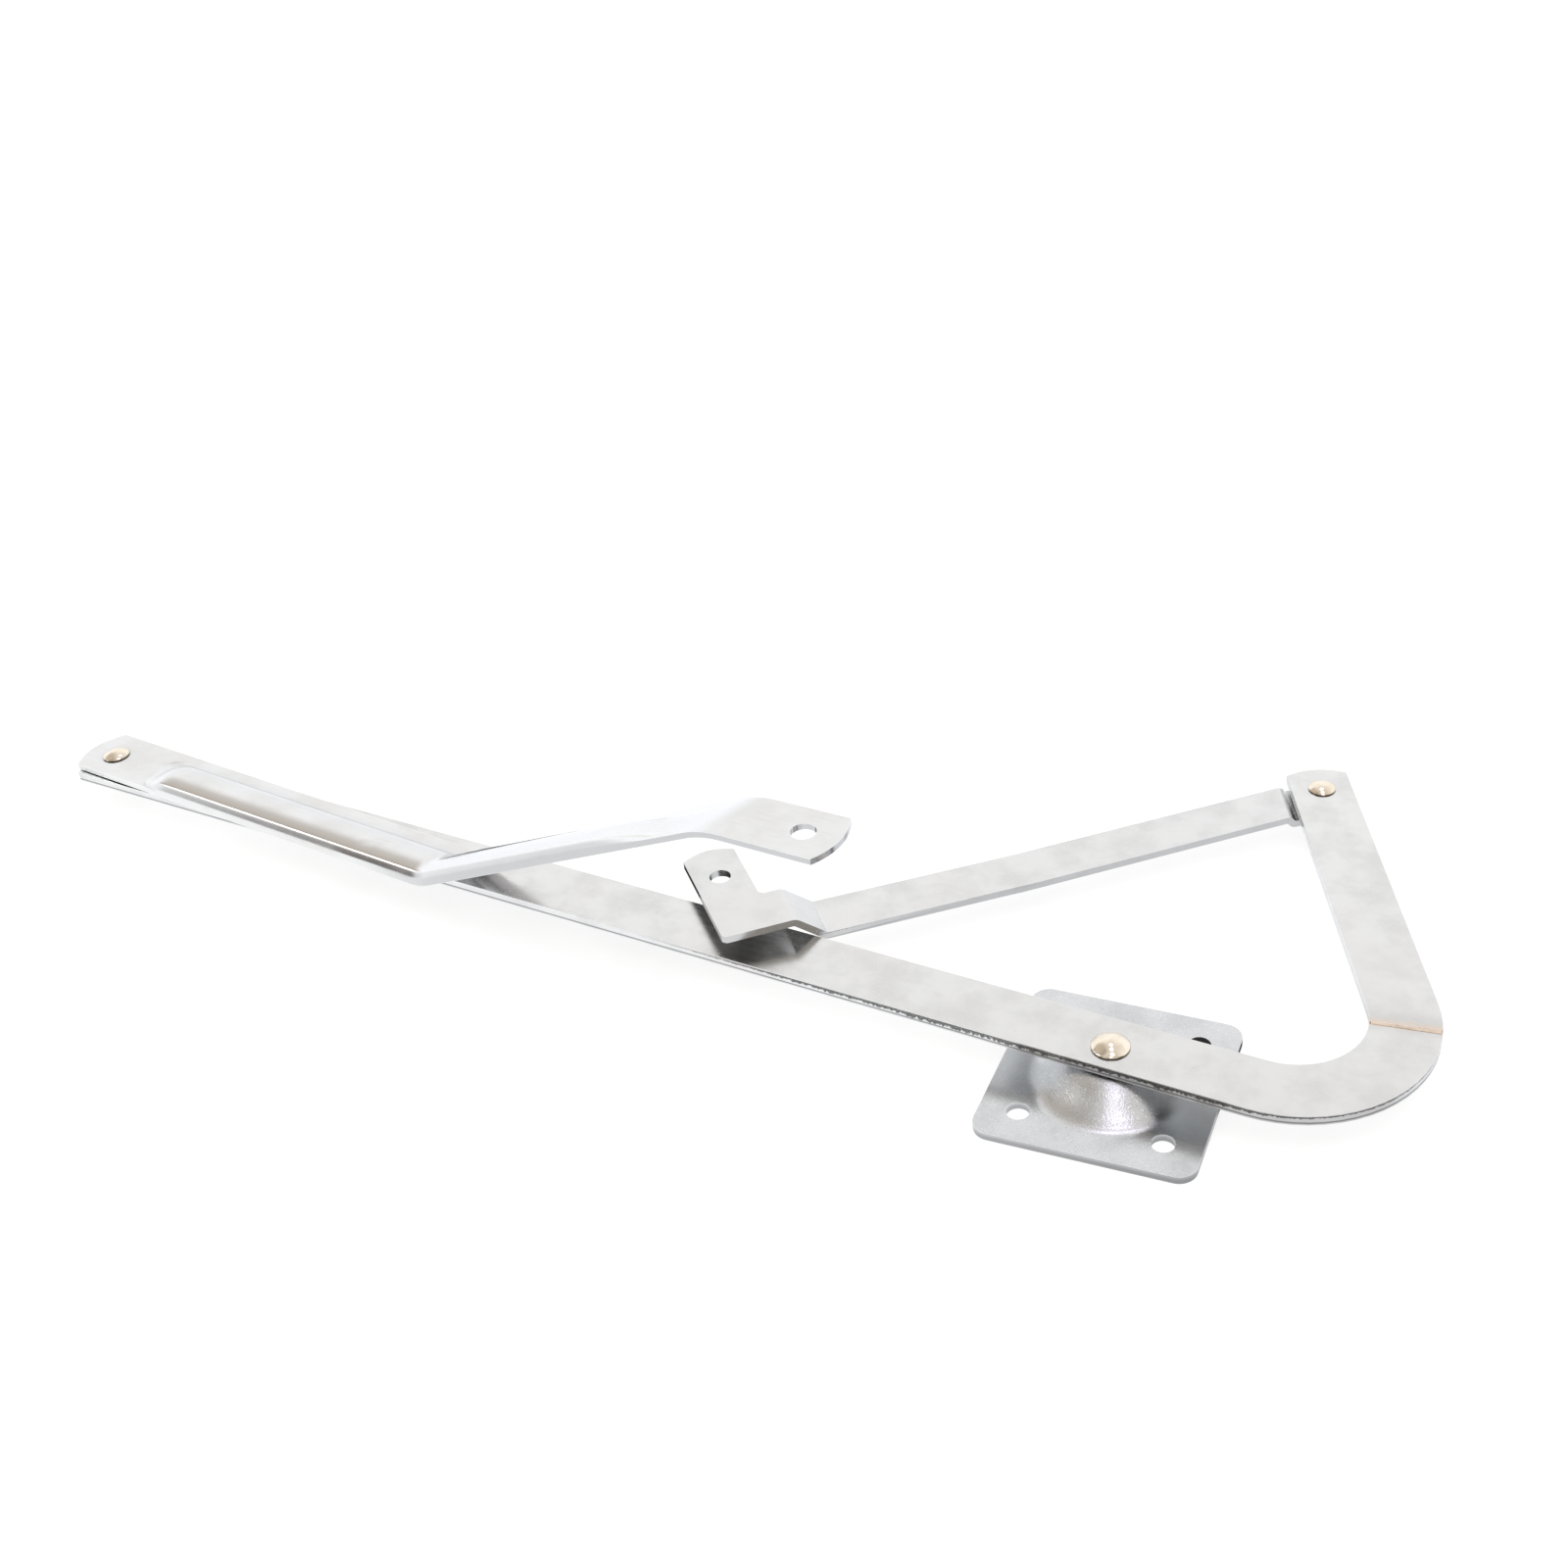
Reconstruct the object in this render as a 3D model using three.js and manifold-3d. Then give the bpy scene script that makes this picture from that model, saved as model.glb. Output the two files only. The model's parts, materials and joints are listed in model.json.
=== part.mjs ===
// Riveted folding roof bracket in zinc plated steel, right-hand version.
// A domed base plate carries a hooked flat bar on a rivet. A thin stay link is
// riveted under the end of the hook, and a ribbed channel arm is riveted on top
// of the bar's far end.
//
// Frame: millimetres, +Z up. The origin is on the flat underside of the base
// plate's rim. +X runs along the bar towards the hook, and the hook opens
// towards +Y. Every dimension below is worked out from the pivot rivet's axis;
// the last step moves the pieces so that the rim point is the origin.
import * as THREE from 'three';
import { mergeVertices } from 'three/addons/utils/BufferGeometryUtils.js';
import Module from 'manifold-3d';

const wasm = await Module();
wasm.setup();

// ---- Driving dimensions -------------------------------------------------

const ARC_STEPS = 24; // straight pieces in a hole's rim
const LAYER_GAP = 0.05; // play between two stacked pieces on a rivet
const BORE_PLAY = 0.1; // radial play of a rivet shank in its hole
const SPACER_THICKNESS = 0.8;
const ARM_SPACER_THICKNESS = 0.45;
const TAIL_WASHER_THICKNESS = 1;

const PLATE_SIDE = 80;
const PLATE_THICKNESS = 3;
const PLATE_CORNER = 7;
const PLATE_TURN = 5.5; // degrees the plate stands turned under the bar at rest
const PLATE_HOLE_SPACING = 52;
const PLATE_HOLE_RADIUS = 4.25;
const DOME_HEIGHT = 9.6;
const DOME_TOP_RADIUS = 9;
const DOME_FOOT_RADIUS = 30;
const RIM_POINT_X = 36; // the origin's place on the rim, from the pivot

const BAR_WIDTH = 25.4;
const BAR_THICKNESS = 4;
const BAR_SHIFT = 1.8; // the bar's centre line lies this far inside the pivot
const BAR_END_BEYOND_RIVET = 9.5;
const BAR_END_BULGE = 3.5; // how far a shallow arc end stands proud
const BEND_CENTRE_X = 52.5;
const BEND_RADIUS = 40.1; // of the bar's centre line
const BEND_ANGLE = 118;
const WELD_ANGLE = 101; // where along the bend the two bars are butt welded
const WELD_WIDTH = 1.8;
const WELD_CROWN = 0.15; // the seam stands this far proud of both faces
const WELD_GAP = 0.02;
const WELD_SHY = 0.5; // the seam stops this far short of the bar's edges
const HOOK_RIVET_RUN = 138.5; // from the end of the bend to the link rivet
const HOOK_END_BEYOND_RIVET = 11;

const ARM_RIVET_X = -481;
const ARM_RIVET_Y = 3.4;

const LINK_WIDTH = 21;
const LINK_THICKNESS = 3;
const LINK_ANGLE = 225.65; // direction of the link from its rivet, from +X
const LINK_END_BEYOND_RIVET = 9;
const LINK_BEND_RADIUS = 3.2;
const LINK_STEP_SLOPE = 56;
const LINK_STEP_FOOT = 16.3; // centre line of the first step, from the rivet
const LINK_STEP_RISE = 2.75;
const LINK_LIFT_START = 135; // from here the link climbs a little towards the tab's step
const LINK_LIFT = 1.9;
const TAB_STEP_START = 220.3; // foot of the tab's step, from the rivet
const TAB_STEP_SLOPE = 40;
const TAB_RISE = 9.7; // tab's top face above the bar's top face
const TAB_CORNER_DISTANCE = 260.6; // tab's outer edge from the link rivet
const TAB_TURN = 2.8; // degrees the tab opens past square to the link
const TAB_LENGTH = 53;
const TAB_WIDTH = 21.1;
const TAB_BULGE = 3.6;
const TAB_CORNER = 1.5; // cut off the tab's outer corner and filled into its inner one
const TAB_HOLE_FROM_END = 19;
const TAB_HOLE_RADIUS = 4.25;
const LINK_END_BULGE = 4;
const SHEET_OVERRUN = 60; // how far the bent sheet runs past its cut outline

const ARM_WIDTH = 27.1;
const ARM_MIDDLE = 0.8; // the sheet's middle lies this far to the hook side of its rivet
const ARM_THICKNESS = 2.5;
const ARM_TURN = -3.3; // degrees the arm stands turned from the bar at rest
const ARM_END_BEYOND_RIVET = 10.5;
const ARM_RIVET_END_BULGE = 4.5;
const ARM_TIP_BULGE = 3.5;
const ARM_ELBOW = 195.5; // rivet to elbow
const ARM_FOLD_SKEW = 14; // degrees both folds lie off square, the hook side later
const ARM_SLOPE = 25.2;
const ARM_SLOPE_LENGTH = 161;
const ARM_FLAT_LENGTH = 41.4;
const ARM_ELBOW_RADIUS = 24;
const ARM_CRANK_RADIUS = 34;
const ARM_ELBOW_DRIFT = 1; // degrees the arm turns in plan at the elbow
const ARM_CRANK_DRIFT = 2; // and at the crank
const ARM_HOLE_FROM_TIP = 14.5;
const ARM_HOLE_RADIUS = 4.75;
const RIB_HEIGHT = 4.9;
const RIB_START = 27; // rivet to the tip of the rib's rounded nose
const RIB_NOSE = 15;
const RIB_RAMP = 17; // the nose climbs to the rib's full height over this
const RIB_NOSE_WIDTH = 0.45; // share of the rib's width at the tip of its nose
const RIB_END = 352;
const RIB_FADE = 56;

const PIVOT_RIVET = { shank: 4, head: 7.1, headHeight: 3.2, tail: 6, tailHeight: 2.4 };
const SMALL_RIVET = { shank: 3.5, head: 5.7, headHeight: 2.3, tail: 5.2, tailHeight: 2.1 };
const PIVOT_SPACER_RADIUS = 8.5;
const SMALL_SPACER_RADIUS = 8;
const TAIL_WASHER_MARGIN = 1.6; // a tail washer's rim stands this far outside the formed tail

// ---- Levels worked out from them ----------------------------------------

const DOME_TOP = PLATE_THICKNESS + DOME_HEIGHT;
const PIVOT_SPACER_Z = DOME_TOP + LAYER_GAP;
const BAR_BOTTOM = PIVOT_SPACER_Z + SPACER_THICKNESS + LAYER_GAP;
const BAR_TOP = BAR_BOTTOM + BAR_THICKNESS;
const LINK_SPACER_Z = BAR_BOTTOM - LAYER_GAP - SPACER_THICKNESS;
const LINK_LOW_TOP = LINK_SPACER_Z - LAYER_GAP;
const LINK_LOW_BOTTOM = LINK_LOW_TOP - LINK_THICKNESS;
const LINK_RUN_TOP = LINK_LOW_TOP + LINK_STEP_RISE;
const TAB_TOP = BAR_TOP + TAB_RISE;
const ARM_SPACER_Z = BAR_TOP + LAYER_GAP;
const ARM_BOTTOM = ARM_SPACER_Z + ARM_SPACER_THICKNESS + LAYER_GAP;
const ARM_TOP = ARM_BOTTOM + ARM_THICKNESS;

const BEND_CENTRE = new THREE.Vector2(BEND_CENTRE_X, BAR_SHIFT + BEND_RADIUS);
const HOOK_HEADING = THREE.MathUtils.degToRad(BEND_ANGLE);
const HOOK_START = pointOnBend(BEND_ANGLE);
const LINK_RIVET = HOOK_START.clone().add(
  new THREE.Vector2(Math.cos(HOOK_HEADING), Math.sin(HOOK_HEADING)).multiplyScalar(HOOK_RIVET_RUN),
);

// ---- Materials ----------------------------------------------------------

function zinc(color, roughness) {
  return new THREE.MeshStandardMaterial({ color, roughness, metalness: 1 });
}

const BAR_ZINC = zinc(0xd3d4d3, 0.38);
const SHEET_ZINC = zinc(0xdadcde, 0.32);
const PLATE_ZINC = zinc(0xc3c8cc, 0.36);
const WASHER_ZINC = zinc(0xb9bdc0, 0.42);
const WELD_STEEL = zinc(0xb7a48e, 0.5);
const RIVET_NICKEL = zinc(0xcdbca6, 0.18);

// ---- Solids from three.js geometry --------------------------------------

// A closed geometry as a solid: shared corners merged, collapsed faces dropped.
function solidOf(geometry) {
  const bare = geometry.clone();
  bare.deleteAttribute('normal');
  bare.deleteAttribute('uv');
  const merged = mergeVertices(bare, 1e-4);
  const index = merged.index.array;
  const kept = [];
  for (let i = 0; i < index.length; i += 3) {
    const [a, b, c] = [index[i], index[i + 1], index[i + 2]];
    if (a !== b && b !== c && c !== a) kept.push(a, b, c);
  }
  return new wasm.Manifold(
    new wasm.Mesh({
      numProp: 3,
      vertProperties: new Float32Array(merged.attributes.position.array),
      triVerts: new Uint32Array(kept),
    }),
  );
}

function geometryOf(solid) {
  const mesh = solid.getMesh();
  const geometry = new THREE.BufferGeometry();
  geometry.setAttribute('position', new THREE.BufferAttribute(mesh.vertProperties, 3));
  geometry.setIndex(new THREE.BufferAttribute(mesh.triVerts, 1));
  geometry.computeVertexNormals();
  return geometry;
}

function extrude(shape, bottom, top) {
  const options = { depth: top - bottom, bevelEnabled: false, curveSegments: ARC_STEPS / 2 };
  return new THREE.ExtrudeGeometry(shape, options).translate(0, 0, bottom);
}

function hole(x, y, radius) {
  return new THREE.Path().absarc(x, y, radius, 0, 2 * Math.PI, true);
}

// A round bar along Z, for cutting holes.
function drill(x, y, radius, bottom, top) {
  const rod = new THREE.CylinderGeometry(radius, radius, top - bottom, 32);
  rod.rotateX(Math.PI / 2);
  return solidOf(rod.translate(x, y, (top + bottom) / 2));
}

// A turned piece from its half section, listed as [radius, height].
function turned(profile, segments) {
  const points = profile.map(([radius, height]) => new THREE.Vector2(radius, height));
  const lathe = new THREE.LatheGeometry(points, segments);
  return geometryOf(solidOf(lathe.rotateX(Math.PI / 2)));
}

// ---- Flat strips that follow a line --------------------------------------

function pointOnBend(degrees) {
  const angle = THREE.MathUtils.degToRad(degrees - 90);
  return new THREE.Vector2(
    BEND_CENTRE_X + BEND_RADIUS * Math.cos(angle),
    BAR_SHIFT + BEND_RADIUS + BEND_RADIUS * Math.sin(angle),
  );
}

// Walks a centre line of straight runs and turns (left is positive) and gives
// each station's place and heading.
function walk(start, headingDegrees, moves, turnStep = 6) {
  let heading = THREE.MathUtils.degToRad(headingDegrees);
  let place = start.clone();
  const stations = [{ place, heading }];
  for (const move of moves) {
    const turn = THREE.MathUtils.degToRad(move.turn ?? 0);
    const steps = move.turn ? Math.ceil(Math.abs(move.turn) / turnStep) : move.steps ?? 1;
    const chordTurn = turn / steps;
    const chord = move.turn ? 2 * move.radius * Math.sin(Math.abs(chordTurn) / 2) : move.run / steps;
    for (let i = 0; i < steps; i += 1) {
      const along = heading + chordTurn / 2;
      place = place.clone().add(new THREE.Vector2(Math.cos(along), Math.sin(along)).multiplyScalar(chord));
      heading += chordTurn;
      stations.push({ place, heading });
    }
  }
  return stations;
}

function sidePoint(station, sideways, forward = 0) {
  const cos = Math.cos(station.heading);
  const sin = Math.sin(station.heading);
  return new THREE.Vector2(
    station.place.x - sin * sideways + cos * forward,
    station.place.y + cos * sideways + sin * forward,
  );
}

// The outline of a strip along its stations, with shallow arc ends if asked.
function stripShape(stations, width, startBulge = 0, endBulge = 0) {
  const first = stations[0];
  const last = stations[stations.length - 1];
  const outline = stations.map((station) => sidePoint(station, -width / 2));
  outline.push(...bulgedEnd(last, width, endBulge));
  outline.push(...stations.map((station) => sidePoint(station, width / 2)).reverse());
  outline.push(...bulgedEnd(first, -width, -startBulge));
  return new THREE.Shape(outline);
}

function bulgedEnd(station, width, bulge) {
  if (bulge === 0) return [];
  const steps = 12;
  const points = [];
  for (let i = 1; i < steps; i += 1) {
    const across = (2 * i) / steps - 1;
    points.push(sidePoint(station, (across * width) / 2, bulge * (1 - across * across)));
  }
  return points;
}

// ---- Base plate ----------------------------------------------------------

// Height of the dome's outer face over the plate at a radius: a flat top that
// falls to the plate in one smooth S curve.
function domeHeight(radius) {
  const fall = (radius - DOME_TOP_RADIUS) / (DOME_FOOT_RADIUS - DOME_TOP_RADIUS);
  return (DOME_HEIGHT / 2) * (1 + Math.cos(Math.PI * THREE.MathUtils.clamp(fall, 0, 1)));
}

function roundedSquare(side, corner) {
  const half = side / 2;
  const inner = half - corner;
  const shape = new THREE.Shape();
  shape.absarc(inner, -inner, corner, -Math.PI / 2, 0, false);
  shape.absarc(inner, inner, corner, 0, Math.PI / 2, false);
  shape.absarc(-inner, inner, corner, Math.PI / 2, Math.PI, false);
  shape.absarc(-inner, -inner, corner, Math.PI, 1.5 * Math.PI, false);
  return shape;
}

function basePlate() {
  const square = roundedSquare(PLATE_SIDE, PLATE_CORNER);
  const offset = PLATE_HOLE_SPACING / 2;
  for (const x of [-offset, offset]) {
    for (const y of [-offset, offset]) square.holes.push(hole(x, y, PLATE_HOLE_RADIUS));
  }
  square.holes.push(hole(0, 0, DOME_FOOT_RADIUS));
  const rings = 9;
  const boreRadius = PIVOT_RIVET.shank + BORE_PLAY;
  const lapInPlate = 0.6; // the dome's edge reaches this far into the flat, to join
  const outer = [];
  for (let i = 0; i <= rings; i += 1) {
    const radius = DOME_TOP_RADIUS + (i / rings) * (DOME_FOOT_RADIUS + lapInPlate - DOME_TOP_RADIUS);
    outer.push([radius, PLATE_THICKNESS + domeHeight(radius)]);
  }
  outer.unshift([boreRadius, DOME_TOP]);
  const inner = outer.map(([radius, height]) => [radius, height - PLATE_THICKNESS]);
  const section = [...inner, ...outer.reverse(), inner[0]];
  const dome = turned(section, 48);
  const plate = solidOf(extrude(square, 0, PLATE_THICKNESS)).add(solidOf(dome));
  return geometryOf(plate).rotateZ(THREE.MathUtils.degToRad(PLATE_TURN));
}

// ---- Hooked bar ----------------------------------------------------------

const WELD_HALF_ANGLE = THREE.MathUtils.radToDeg(WELD_WIDTH / 2 / BEND_RADIUS);
const WELD_GAP_ANGLE = THREE.MathUtils.radToDeg(WELD_GAP / BEND_RADIUS);

function mainBar() {
  const start = new THREE.Vector2(ARM_RIVET_X - BAR_END_BEYOND_RIVET, BAR_SHIFT);
  const stations = walk(start, 0, [
    { run: BEND_CENTRE_X - start.x },
    { turn: WELD_ANGLE - WELD_HALF_ANGLE, radius: BEND_RADIUS },
  ]);
  const shape = stripShape(stations, BAR_WIDTH, BAR_END_BULGE);
  shape.holes.push(hole(0, 0, PIVOT_RIVET.shank + BORE_PLAY));
  shape.holes.push(hole(ARM_RIVET_X, ARM_RIVET_Y, SMALL_RIVET.shank + BORE_PLAY));
  return extrude(shape, BAR_BOTTOM, BAR_TOP);
}

function hookArm() {
  const startAngle = WELD_ANGLE + WELD_HALF_ANGLE;
  const stations = walk(pointOnBend(startAngle), startAngle, [
    { turn: BEND_ANGLE - startAngle, radius: BEND_RADIUS },
    { run: HOOK_RIVET_RUN + HOOK_END_BEYOND_RIVET },
  ]);
  const shape = stripShape(stations, BAR_WIDTH, 0, BAR_END_BULGE);
  shape.holes.push(hole(LINK_RIVET.x, LINK_RIVET.y, SMALL_RIVET.shank + BORE_PLAY));
  return extrude(shape, BAR_BOTTOM, BAR_TOP);
}

// The seam between the two bars, a sliver of the bend with a slight crown.
function weldSeam() {
  const startAngle = WELD_ANGLE - WELD_HALF_ANGLE + WELD_GAP_ANGLE;
  const sweep = 2 * (WELD_HALF_ANGLE - WELD_GAP_ANGLE);
  const stations = walk(pointOnBend(startAngle), startAngle, [{ turn: sweep, radius: BEND_RADIUS }]);
  const width = BAR_WIDTH - 2 * WELD_SHY;
  return extrude(stripShape(stations, width), BAR_BOTTOM - WELD_CROWN, BAR_TOP + WELD_CROWN);
}

// ---- Stay link -----------------------------------------------------------

// A bent sheet seen from its edge, standing on its side view and pushed out
// across far enough to cover any outline of the link.
function bentSheet(stations, skewDegrees) {
  const reach = 2 * SHEET_OVERRUN;
  const side = extrude(stripShape(stations, LINK_THICKNESS), -reach, reach);
  side.rotateX(Math.PI / 2);
  const skew = Math.tan(THREE.MathUtils.degToRad(skewDegrees));
  side.applyMatrix4(new THREE.Matrix4().makeShear(0, 0, skew, 0, 0, 0));
  return solidOf(side);
}

// Run along the flat that a bend of this turn takes up on each side of it.
function bendSetback(turnDegrees) {
  return LINK_BEND_RADIUS * Math.tan(THREE.MathUtils.degToRad(turnDegrees / 2));
}

// Moves for a step up: bend up, climb, bend level. `rise` is between the flats
// and `lift` is how steeply the step is come to, in degrees.
function stepUp(rise, slope, lift = 0) {
  const climb = rise / Math.sin(THREE.MathUtils.degToRad(slope));
  return [
    { turn: slope - lift, radius: LINK_BEND_RADIUS },
    { run: climb - bendSetback(slope - lift) - bendSetback(slope) },
    { turn: -slope, radius: LINK_BEND_RADIUS },
  ];
}

// The rivet half as bent sheet: flat under the hook, then a step up beside it.
// The step's fold lines run parallel to the hook's edge.
function rivetHalf(middle) {
  const travel = LINK_STEP_RISE / Math.tan(THREE.MathUtils.degToRad(LINK_STEP_SLOPE));
  const firstBend = LINK_STEP_FOOT - travel / 2 - bendSetback(LINK_STEP_SLOPE);
  const start = new THREE.Vector2(-SHEET_OVERRUN, LINK_LOW_TOP - LINK_THICKNESS / 2);
  const moves = [
    { run: SHEET_OVERRUN + firstBend },
    ...stepUp(LINK_STEP_RISE, LINK_STEP_SLOPE),
    { run: middle },
  ];
  return bentSheet(walk(start, 0, moves), LINK_ANGLE - BEND_ANGLE - 90);
}

// The far half as bent sheet: a slight climb to the tab's step, then up to the
// tab. The step's fold lines run square across the link.
function tabHalf(middle) {
  const liftRun = TAB_STEP_START - LINK_LIFT_START;
  const lift = THREE.MathUtils.radToDeg(Math.atan(LINK_LIFT / liftRun));
  const stepTurn = TAB_STEP_SLOPE - lift;
  const start = new THREE.Vector2(middle, LINK_RUN_TOP - LINK_THICKNESS / 2);
  const moves = [
    { run: LINK_LIFT_START - middle },
    { turn: lift, radius: LINK_BEND_RADIUS },
    { run: liftRun - bendSetback(stepTurn) },
    ...stepUp(TAB_TOP - LINK_RUN_TOP - LINK_LIFT, TAB_STEP_SLOPE, lift),
    { run: SHEET_OVERRUN },
  ];
  return bentSheet(walk(start, 0, moves), 0);
}

// The two halves of bent sheet, each cut to its outline and joined where both
// are flat. Along its own length the link starts at its rivet.
function stayLink() {
  const middle = TAB_CORNER_DISTANCE / 2;
  const overlap = LINK_WIDTH / 2;
  const [floor, roof] = [LINK_LOW_BOTTOM - LINK_THICKNESS, TAB_TOP + LINK_THICKNESS];
  const end = new THREE.Vector2(-LINK_END_BEYOND_RIVET, 0);
  const stations = walk(end, 0, [{ run: LINK_END_BEYOND_RIVET + middle + overlap }]);
  const rivetOutline = stripShape(stations, LINK_WIDTH, LINK_END_BULGE);
  const link = rivetHalf(middle)
    .intersect(solidOf(extrude(rivetOutline, floor, roof)))
    .add(tabHalf(middle).intersect(solidOf(extrude(tabOutline(middle), floor, roof))))
    .subtract(drill(0, 0, SMALL_RIVET.shank + BORE_PLAY, floor, roof));
  return geometryOf(link)
    .rotateZ(THREE.MathUtils.degToRad(LINK_ANGLE))
    .translate(LINK_RIVET.x, LINK_RIVET.y, 0);
}

// Plan outline of the link's far half: a strip that turns, a little past square
// and to the right, into the tab.
function tabOutline(start) {
  const half = LINK_WIDTH / 2;
  const end = TAB_CORNER_DISTANCE;
  const turn = THREE.MathUtils.degToRad(TAB_TURN);
  const corner = new THREE.Vector2(end, half);
  const onTab = (across, down) => (
    new THREE.Vector2(-across, -down).rotateAround(new THREE.Vector2(), turn).add(corner)
  );
  const innerDown = (LINK_WIDTH - TAB_WIDTH * Math.sin(turn)) / Math.cos(turn);
  const innerCorner = onTab(TAB_WIDTH, innerDown);
  const tipStation = { place: onTab(TAB_WIDTH / 2, TAB_LENGTH), heading: turn - Math.PI / 2 };
  const shape = new THREE.Shape([
    new THREE.Vector2(start, half),
    new THREE.Vector2(start, -half),
    new THREE.Vector2(innerCorner.x - TAB_CORNER, -half),
    onTab(TAB_WIDTH, innerDown + TAB_CORNER),
    onTab(TAB_WIDTH, TAB_LENGTH),
    ...bulgedEnd(tipStation, TAB_WIDTH, TAB_BULGE),
    onTab(0, TAB_LENGTH),
    onTab(0, TAB_CORNER),
    new THREE.Vector2(end - TAB_CORNER, half),
  ]);
  const bore = onTab(TAB_WIDTH / 2, TAB_LENGTH + TAB_BULGE - TAB_HOLE_FROM_END);
  shape.holes.push(hole(bore.x, bore.y, TAB_HOLE_RADIUS));
  return shape;
}

// ---- Channel arm ---------------------------------------------------------

// Half sections of the ribbed sheet from edge to middle: distance from the
// rivet's line and share of the rib's height, for the upper and lower face. The
// rib is highest on the plain side, where a wall drops to the sheet's edge; on
// the hook side it falls off in a long round to a flat flange.
const PLAIN_SIDE = [
  { upper: [12.75, 0], lower: [12.75, 0] },
  { upper: [12.5, 0.16], lower: [9.9, 0] },
  { upper: [12.1, 0.34], lower: [9.5, 0.2] },
  { upper: [11.5, 0.58], lower: [9.1, 0.5] },
  { upper: [11.1, 0.7], lower: [8.8, 0.68] },
  { upper: [10.7, 0.765], lower: [8.4, 0.77] },
  { upper: [10.1, 0.81], lower: [7.9, 0.83] },
  { upper: [7.4, 0.93], lower: [6.8, 0.91] },
  { upper: [5.6, 0.98], lower: [5.3, 0.97] },
  { upper: [3.8, 1], lower: [3.8, 1] },
  { upper: [0, 0.909], lower: [0, 0.893] },
];
const HOOK_SIDE = [
  { upper: [14.35, 0], lower: [14.35, 0] },
  { upper: [9.2, 0], lower: [9.0, 0] },
  { upper: [8.5, 0.03], lower: [7.45, 0.07] },
  { upper: [8.0, 0.1], lower: [6.5, 0.2] },
  { upper: [7.1, 0.249], lower: [5.6, 0.357] },
  { upper: [6.0, 0.393], lower: [4.65, 0.475] },
  { upper: [4.9, 0.52], lower: [3.7, 0.584] },
  { upper: [3.7, 0.644], lower: [2.65, 0.692] },
  { upper: [2.5, 0.749], lower: [1.6, 0.785] },
  { upper: [1.2, 0.842], lower: [0.6, 0.86] },
  { upper: [0, 0.909], lower: [0, 0.893] },
];

function smooth(value, from, to) {
  return THREE.MathUtils.smoothstep(value, from, to);
}

// Share of the rib's full height and width at a distance from the rivet.
function ribHeightAt(along) {
  return smooth(along, RIB_START, RIB_START + RIB_RAMP) * (1 - smooth(along, RIB_END - RIB_FADE, RIB_END));
}

function ribWidthAt(along) {
  const nose = THREE.MathUtils.clamp((along - RIB_START) / RIB_NOSE, 0, 1);
  return RIB_NOSE_WIDTH + (1 - RIB_NOSE_WIDTH) * Math.sqrt(nose * (2 - nose));
}

// The arm's line seen from the side: flat, elbow up, slope, crank, flat.
function armStations() {
  const elbowSetback = ARM_ELBOW_RADIUS * Math.tan(THREE.MathUtils.degToRad(ARM_SLOPE / 2));
  const crankSetback = ARM_CRANK_RADIUS * Math.tan(THREE.MathUtils.degToRad(ARM_SLOPE / 2));
  const noseEnd = RIB_START + RIB_NOSE;
  const fadeStart = RIB_END - RIB_FADE;
  const slopeStart = ARM_ELBOW + elbowSetback;
  const fadeEnd = ARM_ELBOW + ARM_SLOPE_LENGTH - crankSetback;
  return walk(new THREE.Vector2(-ARM_END_BEYOND_RIVET, 0), 0, [
    { run: ARM_END_BEYOND_RIVET + RIB_START, steps: 2 },
    { run: RIB_NOSE, steps: 7 },
    { run: ARM_ELBOW - elbowSetback - noseEnd, steps: 8 },
    { turn: ARM_SLOPE, radius: ARM_ELBOW_RADIUS },
    { run: fadeStart - slopeStart, steps: 6 },
    { run: fadeEnd - fadeStart, steps: 8 },
    { turn: -ARM_SLOPE, radius: ARM_CRANK_RADIUS },
    { run: ARM_FLAT_LENGTH - crankSetback, steps: 2 },
  ], 5);
}

// Sideways drift of the arm's middle line, from its slightly oblique folds.
function armDrift(x) {
  const elbowTurn = Math.tan(THREE.MathUtils.degToRad(ARM_ELBOW_DRIFT));
  const crankTurn = Math.tan(THREE.MathUtils.degToRad(ARM_CRANK_DRIFT));
  const crankX = ARM_ELBOW + ARM_SLOPE_LENGTH * Math.cos(THREE.MathUtils.degToRad(ARM_SLOPE));
  return elbowTurn * Math.max(0, x - ARM_ELBOW) + crankTurn * Math.max(0, x - crankX);
}

// Share of the folds' skew at a distance along: none at the ends, all of it
// from elbow to crank.
function skewAt(along, length) {
  const crank = ARM_ELBOW + ARM_SLOPE_LENGTH;
  const rising = smooth(along, RIB_START + RIB_NOSE, ARM_ELBOW - ARM_ELBOW_RADIUS);
  const falling = 1 - smooth(along, crank, length);
  return Math.min(rising, falling);
}

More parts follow.
